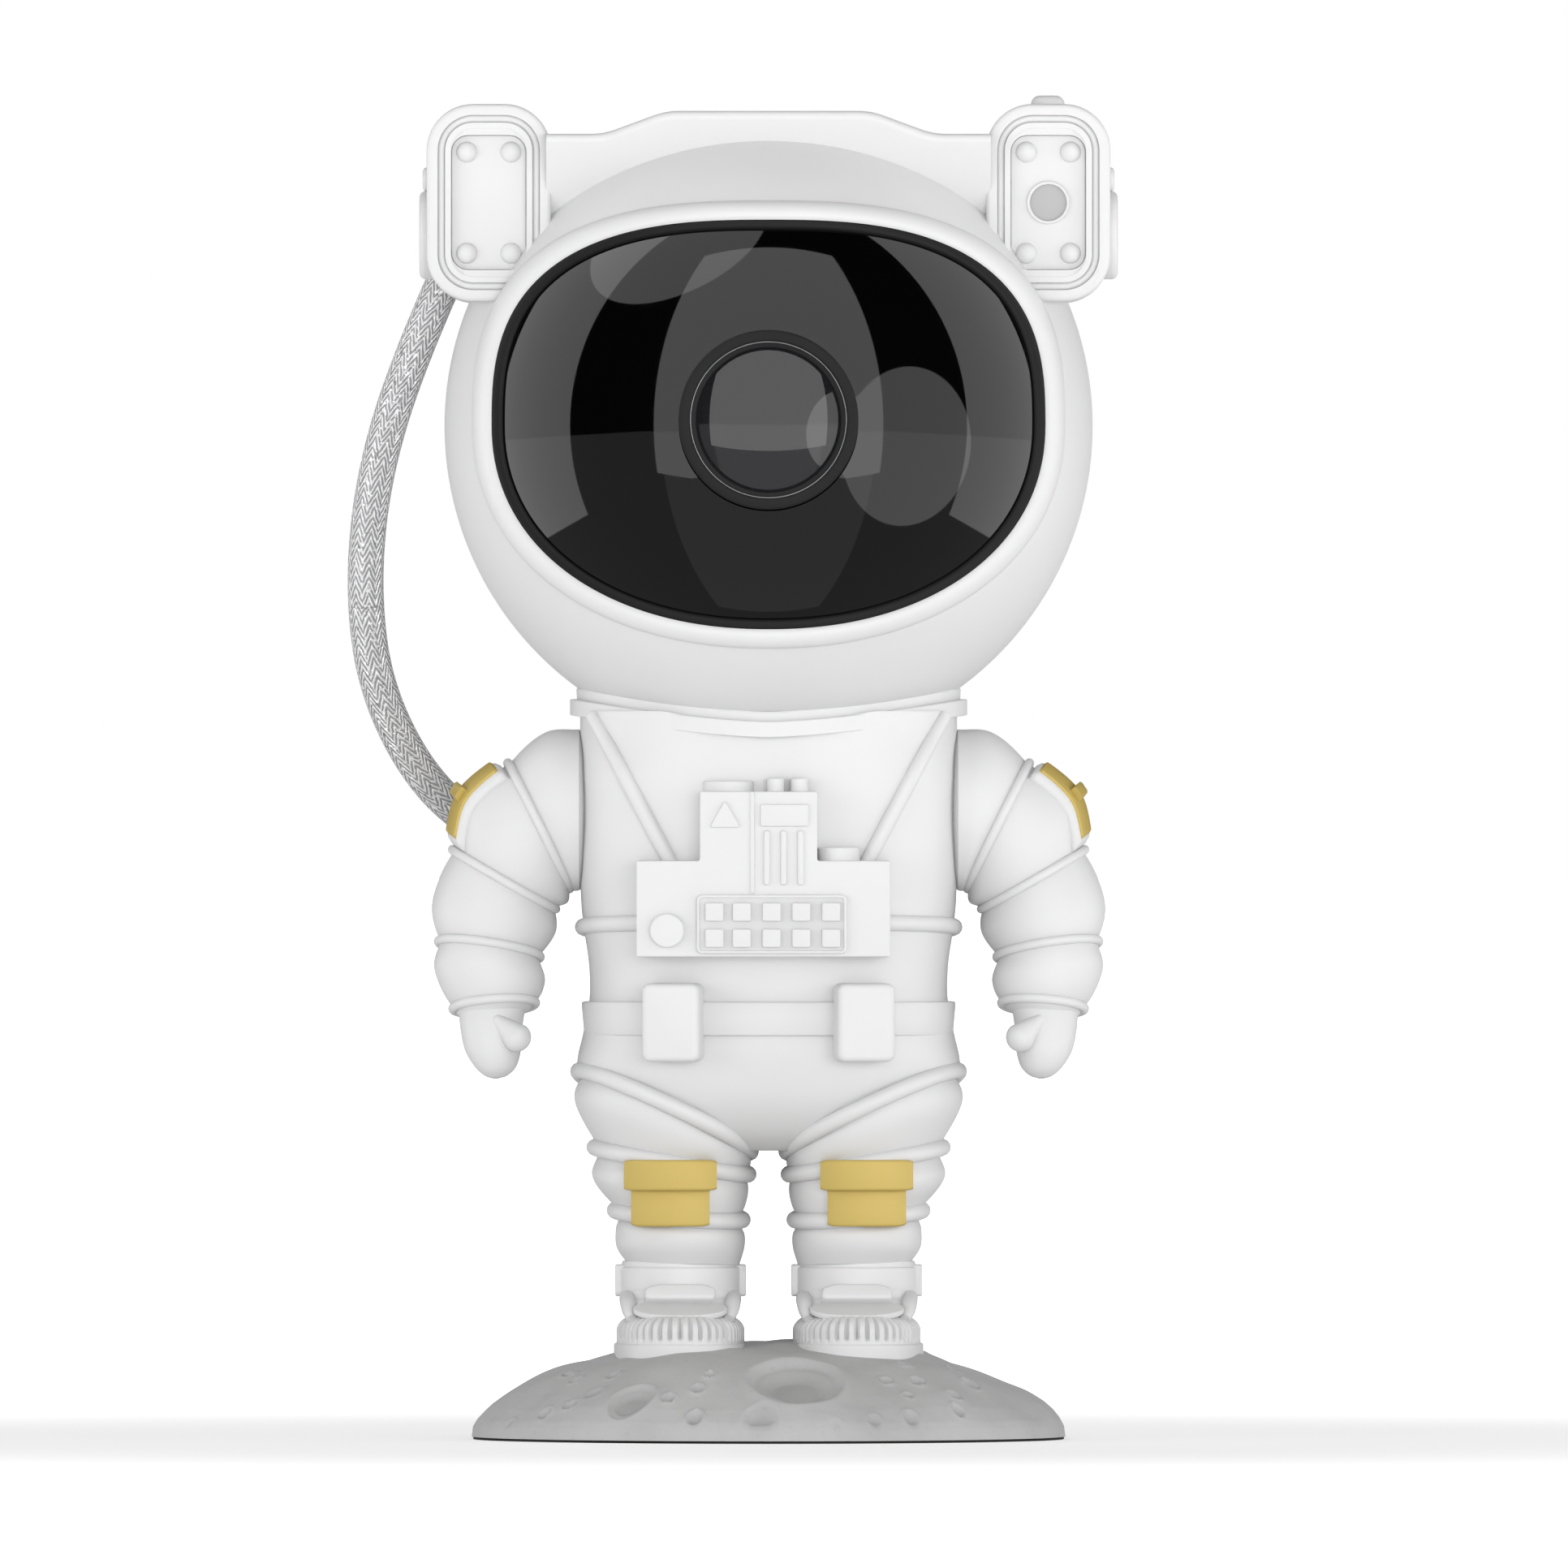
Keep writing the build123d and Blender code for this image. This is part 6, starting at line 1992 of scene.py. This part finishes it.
@dataclass
class Pod(Sided):
    """Ear pod: rounded box with a channel round its face, a sunken plate and rivets."""

    centre_x: float = 48.1
    centre_z: float = 212.95
    width: float = 21.4
    height: float = 33.9
    corner: float = 8.0
    front: float = 22.7
    back: float = 9.0
    plate: tuple[float, float] = (12.9, 23.2)
    recess: float = 1.5
    rear_edge: Profile = ((2.6, 0.0), (1.1, 0.35), (0.3, 1.2), (0.0, 2.4))
    face_edge: Profile = (
        (0.0, -0.9), (0.12, -0.4), (0.4, -0.12), (0.8, 0.0), (1.86, 0.0), (1.92, -0.08),
        (1.96, -0.75), (2.1, -0.62), (2.3, -0.5), (2.55, -0.45), (2.8, -0.5), (3.0, -0.62),
        (3.14, -0.75), (3.18, -0.08), (3.24, 0.0), (4.15, 0.0), (4.22, -0.08))
    rivet_spots: Profile = ((-3.8, -8.7), (-3.8, 8.7), (3.8, -8.7), (3.8, 8.7))
    cap_y: float = -6.85

    @property
    def x(self) -> float:
        """The pod's place across."""
        return self.side.value * self.centre_x

    def build(self) -> None:
        """Make the pod's pieces."""
        bed = Bed((self.x, 0.0, self.centre_z))
        outline = oblong(self.width, self.height, self.corner, steps=14)
        face = self.front
        levels = [(cut, rise - self.back) for cut, rise in self.rear_edge]
        levels += [(cut, rise + face) for cut, rise in self.face_edge]
        rows = [bed.lift(inset(outline, cut), depth) for cut, depth in levels]
        hole = oblong(*self.plate, 2.9, steps=14)
        rows += [bed.lift(hole, face - 0.2), bed.lift(hole, face - 2.2)]
        work = Workpiece()
        work.skin(rows)
        self.cap(work)
        self.bench.make(work, f"{self.name}_pod_box", Slot.WHITE, "head", [f"{self.name}_ear_pod"], 40)
        plate = Workpiece()
        plate.slab(inset(hole, 0.05), bed, face - 3.0, face - self.recess, 0.15)
        self.bench.make(plate, f"{self.name}_pod_face", Slot.WHITE, "head", [f"{self.name}_pod_plate"])
        carrier = bpy.data.meshes.new("rivet_places")
        spots = [((self.x + dx) * MM, -(face - self.recess) * MM, (self.centre_z + dz) * MM)
                 for dx, dz in self.rivet_spots]
        carrier.from_pydata(spots, [], [])
        mesh = self.bench.rivets.grow(carrier, f"{self.name}_pod_rivets")
        self.bench.place(f"{self.name}_pod_rivets", mesh, Slot.WHITE, "head")
        if self.side is Side.RIGHT:
            self.sensor()

    def cap(self, work: Workpiece) -> None:
        """Round cover and a small lug on the pod's outer side.

        Args:
            work: Workpiece that gets them.
        """
        out = self.side.value
        for rise, radius, steps, proud, edge in ((-5.4, 7.6, 64, 1.35, 1.1),
                                                 (4.2, 2.1, 32, 0.8, 0.75)):
            origin = (self.x + out * self.width / 2, self.cap_y, self.centre_z + rise)
            bed = Bed(origin, (0.0, float(out), 0.0))
            work.slab(disc(radius, steps=steps), bed, -1.0, proud, edge, 6)

    def sensor(self) -> None:
        """Grey receiver window sunk in the right pod's plate, and the button on top."""
        bed = Bed((self.x, 0.0, self.centre_z))
        ring = Workpiece()
        face = self.front - self.recess
        levels = ((3.75, -0.3), (3.7, 0.45), (3.55, 0.6), (3.3, 0.6), (3.15, 0.45), (3.08, -0.3))
        rows = [bed.lift(disc(reach, steps=56), face + rise) for reach, rise in levels]
        ring.skin(rows, rejoin=True)
        self.bench.make(ring, "sensor_ring", Slot.WHITE, "head")
        window = Workpiece()
        window.slab(disc(3.1, steps=56), bed, face - 0.6, face + 0.05, 0.05)
        self.bench.make(window, "sensor_window", Slot.KEY, "head")
        self.bench.dress("pod_button", Slot.WHITE)


# ---- hose
HOSE_ROUTE = (
    (-53.7, 1.0, 204.8), (-61.8, 1.5, 187.0), (-68.3, 3.5, 166.0), (-70.1, 6.5, 146.0),
    (-67.6, 11.5, 128.0), (-58.5, 20.0, 111.5), (-46.0, 28.5, 103.0), (-34.0, 31.0, 101.0),
    (-22.5, 31.0, 101.0),
)


@dataclass
class Hose(Assembly):
    """Braided hose from the left pod to the backpack, in two lengths that meet."""

    radius: float = 3.1
    parting: float = 0.45
    sides: int = 48
    strands: float = 8.0
    pick: float = 1.5
    points: int = 260

    def line(self) -> np.ndarray:
        """Smooth line of the whole route.

        Returns:
            Its points, in millimetres.
        """
        curve = bpy.data.curves.new("hose_line", "CURVE")
        curve.dimensions = "3D"
        spline = curve.splines.new("NURBS")
        spline.points.add(len(HOSE_ROUTE) - 1)
        for knot, place in zip(spline.points, HOSE_ROUTE):
            knot.co = (*[part * MM for part in place], 1.0)
        spline.order_u = 3
        spline.use_endpoint_u = True
        curve.resolution_u = 40
        holder = bpy.data.objects.new("hose_line", curve)
        bpy.context.scene.collection.objects.link(holder)
        ready = holder.evaluated_get(bpy.context.evaluated_depsgraph_get())
        mesh = bpy.data.meshes.new_from_object(ready)
        points = np.array([vertex.co[:] for vertex in mesh.vertices]) / MM
        bpy.data.objects.remove(holder)
        bpy.data.meshes.remove(mesh)
        return points

    def build(self) -> None:
        """Make both lengths, which meet at the parting."""
        line = self.line()
        run = np.concatenate([[0], np.cumsum(np.linalg.norm(np.diff(line, axis=0), axis=1))])
        even = np.linspace(0, run[-1], self.points)
        line = np.stack([np.interp(even, run, line[:, axis]) for axis in range(3)], 1)
        cut = int(len(line) * self.parting)
        upper, lower = line[:cut + 1], line[cut:][::-1]
        self.length("hose_upper", upper, even[1], "neck_swivel", "head", ["hose"])
        self.length("hose_lower", lower, even[1], "neck_swivel", "stand", ["hose"])

    def length(self, name: str, path: np.ndarray, step: float, near: str,
               far: str, stands_for: list[str]) -> None:
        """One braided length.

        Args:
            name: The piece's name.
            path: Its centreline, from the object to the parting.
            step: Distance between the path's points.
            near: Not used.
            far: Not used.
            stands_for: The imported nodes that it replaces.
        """
        work = Workpiece()
        work.tube(path, self.radius, self.sides)
        mesh = bpy.data.meshes.new(name)
        mesh.from_pydata((np.vstack(work.points) * MM).tolist(), [], work.faces)
        layer = mesh.uv_layers.new(name="sleeve")
        for face in mesh.polygons:
            columns = [mesh.loops[corner].vertex_index % self.sides for corner in face.loop_indices]
            seam = len(columns) == 4 and max(columns) - min(columns) > 1
            for corner, column in zip(face.loop_indices, columns):
                row = mesh.loops[corner].vertex_index // self.sides
                around = self.sides if seam and column == 0 else column
                layer.data[corner].uv = (row * step / self.pick,
                                         around / self.sides * self.strands / 2)
        mesh.shade_smooth()
        piece = self.bench.place(name, mesh, Slot.BRAID, None, stands_for)
        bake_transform(piece)


# ---- studio
class Outline(Enum):
    """Blender's names for the shape of an area light."""

    OBLONG = "RECTANGLE"
    ROUND = "DISK"


@dataclass(frozen=True)
class Card:
    """Glowing card that shows as a soft patch in the visor; its distance is in metres."""

    name: str
    heading: Point
    width: float
    height: float
    glow: float
    distance: float = 1.0
    shape: Outline = Outline.OBLONG
    upright: bool = False


@dataclass
class Studio:
    """Pale floor, soft box lights and the camera."""

    centre: Point = (2.66, 0.0, 112.98)
    view_width: float = 270.48
    lens: float = 900.0
    sensor: float = 36.0
    floor_size: float = 40.0
    floor_tone: float = 0.58
    floor_glow: float = 0.42
    far_glow: float = 1.05
    glow_band: tuple[float, float] = (0.12, 0.6)
    sky_low: float = 0.06
    sky_high: float = 0.6
    sky_dim: float = 0.55
    aim: Point = (0.0, 0.0, 0.12)
    visor_middle: Point = (0.0, 0.0, 0.1747)
    cards: Sequence[Card] = (
        Card("tall_card", (0.0, -1.0, 0.975), 1.75, 2.7, 1.7, 1.397, upright=True),
        Card("left_strip", (-1.0, 0.05, 0.85), 0.65, 2.7, 1.7, 1.313, upright=True),
        Card("right_strip", (1.0, 0.05, 0.85), 0.65, 2.7, 1.7, 1.313, upright=True),
        Card("round_card_low", (0.778, -0.617, -0.119), 0.95, 0.95, 1.35, shape=Outline.ROUND),
        Card("round_card_high", (-0.42, -0.14, 0.857), 0.95, 0.95, 1.4, shape=Outline.ROUND),
        Card("low_card", (0.0, -1.0, -1.62), 1.6, 2.5, 0.28, 1.904, upright=True),
        Card("under_card", (0.0, 0.0, -1.0), 8.0, 8.0, 0.34, 0.2),
    )

    @property
    def scene(self) -> bpy.types.Scene:
        """The scene that everything is in."""
        return bpy.context.scene

    def build(self) -> None:
        """Set the studio up."""
        self.scene.view_settings.view_transform = "Standard"
        self.camera()
        self.floor()
        self.lights()
        self.sky()

    def sky(self) -> None:
        """White surroundings, dimmer overhead, that only light the surfaces."""
        world = bpy.data.worlds.new("studio")
        self.scene.world = world
        world.use_nodes = True
        tree = world.node_tree
        ground = tree.nodes["Background"]
        heading = tree.nodes.new("ShaderNodeTexCoord")
        split = tree.nodes.new("ShaderNodeSeparateXYZ")
        sky = tree.nodes.new("ShaderNodeMapRange")
        sky.inputs["From Min"].default_value = self.sky_low
        sky.inputs["From Max"].default_value = self.sky_high
        sky.inputs["To Min"].default_value = 1.0
        sky.inputs["To Max"].default_value = self.sky_dim
        tree.links.new(heading.outputs["Generated"], split.inputs[0])
        tree.links.new(split.outputs["Z"], sky.inputs["Value"])
        tree.links.new(sky.outputs["Result"], ground.inputs["Strength"])
        ground.inputs["Color"].default_value = (1.0, 1.0, 1.0, 1.0)
        world.cycles_visibility.glossy = False
        world.cycles_visibility.transmission = False

    def camera(self) -> None:
        """Long lens, square on to the figure."""
        data = bpy.data.cameras.new("studio_camera")
        data.lens = self.lens
        data.sensor_width = self.sensor
        data.sensor_fit = "HORIZONTAL"
        data.clip_end = 100.0
        camera = bpy.data.objects.new("studio_camera", data)
        away = self.view_width * self.lens / self.sensor
        camera.location = (self.centre[0] * MM, -away * MM, self.centre[2] * MM)
        camera.rotation_euler = (math.pi / 2, 0.0, 0.0)
        self.scene.collection.objects.link(camera)
        self.scene.camera = camera

    def floor(self) -> None:
        """Plain pale floor."""
        mesh = bpy.data.meshes.new("floor")
        size = self.floor_size
        mesh.from_pydata([(-size, -size, 0), (size, -size, 0), (size, size, 0), (-size, size, 0)],
                         [], [(0, 1, 2, 3)])
        graph = Graph("pale_floor")
        reach = graph.node("ShaderNodeVectorMath", {"operation": "LENGTH"}, [graph.place()],
                           "Value")
        far = reach.step(*self.glow_band)
        glow = graph.mix(far, grey(self.floor_glow), grey(self.far_glow))
        mesh.materials.append(graph.surface(Base_Color=grey(self.floor_tone), Roughness=1.0,
                                            Specular_IOR_Level=0.0, Emission_Color=glow,
                                            Emission_Strength=1.0))
        floor = bpy.data.objects.new("floor", mesh)
        floor.visible_glossy = False
        self.scene.collection.objects.link(floor)

    def lights(self) -> None:
        """Soft boxes that light the surfaces, and cards that only show in glossy ones."""
        for name, place, width, height, power in (
                ("key_box", (0.4, -2.2, 0.2), 1.2, 0.6, 20.0),
                ("fill_box", (-1.4, -1.0, 0.2), 1.0, 0.6, 7.0),
                ("right_box", (1.5, -0.6, 0.3), 0.9, 0.7, 5.5),
                ("rear_box", (-0.4, 2.0, 0.9), 1.6, 1.2, 8.0)):
            box = self.soft_box(name, place, self.aim, width, height, power)
            box.visible_glossy = False
        for card in self.cards:
            self.reflection(card)

    def reflection(self, card: Card) -> None:
        """Hang a card that only reflections off the visor show.

        Args:
            card: The card.
        """
        middle = np.array(self.visor_middle)
        place = middle + unit(np.array(card.heading)) * card.distance
        area = card.width * card.height * (math.pi / 4 if card.shape is Outline.ROUND else 1.0)
        box = self.soft_box(card.name, tuple(place), tuple(middle), card.width,
                            card.height, card.glow * area * math.pi, card.shape)
        if card.upright:
            box.rotation_euler = (math.pi / 2, 0.0, math.atan2(card.heading[0], -card.heading[1]))
        box.visible_diffuse = False
        box.visible_transmission = False

    def soft_box(self, name: str, place: Point, aim: Point,
                 width: float, height: float, power: float,
                 shape: Outline = Outline.OBLONG) -> bpy.types.Object:
        """One area light.

        Args:
            name: The light's name.
            place: Where it hangs, in metres.
            aim: Where it points.
            width: Its width.
            height: Its height.
            power: Its power in watts.
            shape: Its outline.

        Returns:
            The light.
        """
        data = bpy.data.lights.new(name, "AREA")
        data.shape = shape.value
        data.size, data.size_y = width, height
        data.energy = power
        light = bpy.data.objects.new(name, data)
        light.location = place
        heading = Vector(np.array(aim) - np.array(place))
        light.rotation_euler = heading.to_track_quat("-Z", "Y").to_euler()
        light.visible_camera = False
        self.scene.collection.objects.link(light)
        return light


def main() -> None:
    """Build every sub-assembly in order."""
    logging.basicConfig(level=logging.INFO, format="%(name)s %(message)s")
    Studio().build()
    bench = Bench()
    MoonBase(bench).build()
    for side in Side:
        Boot(bench, side).build()
        Leg(bench, side).build()
        Arm(bench, side).build()
    Torso(bench).build()
    ChestPanel(bench).build()
    head = Head(bench)
    head.build()
    Headband(bench, head).build()
    for side in Side:
        Pod(bench, side).build()
    Hose(bench).build()


if __name__ == "__main__":
    main()
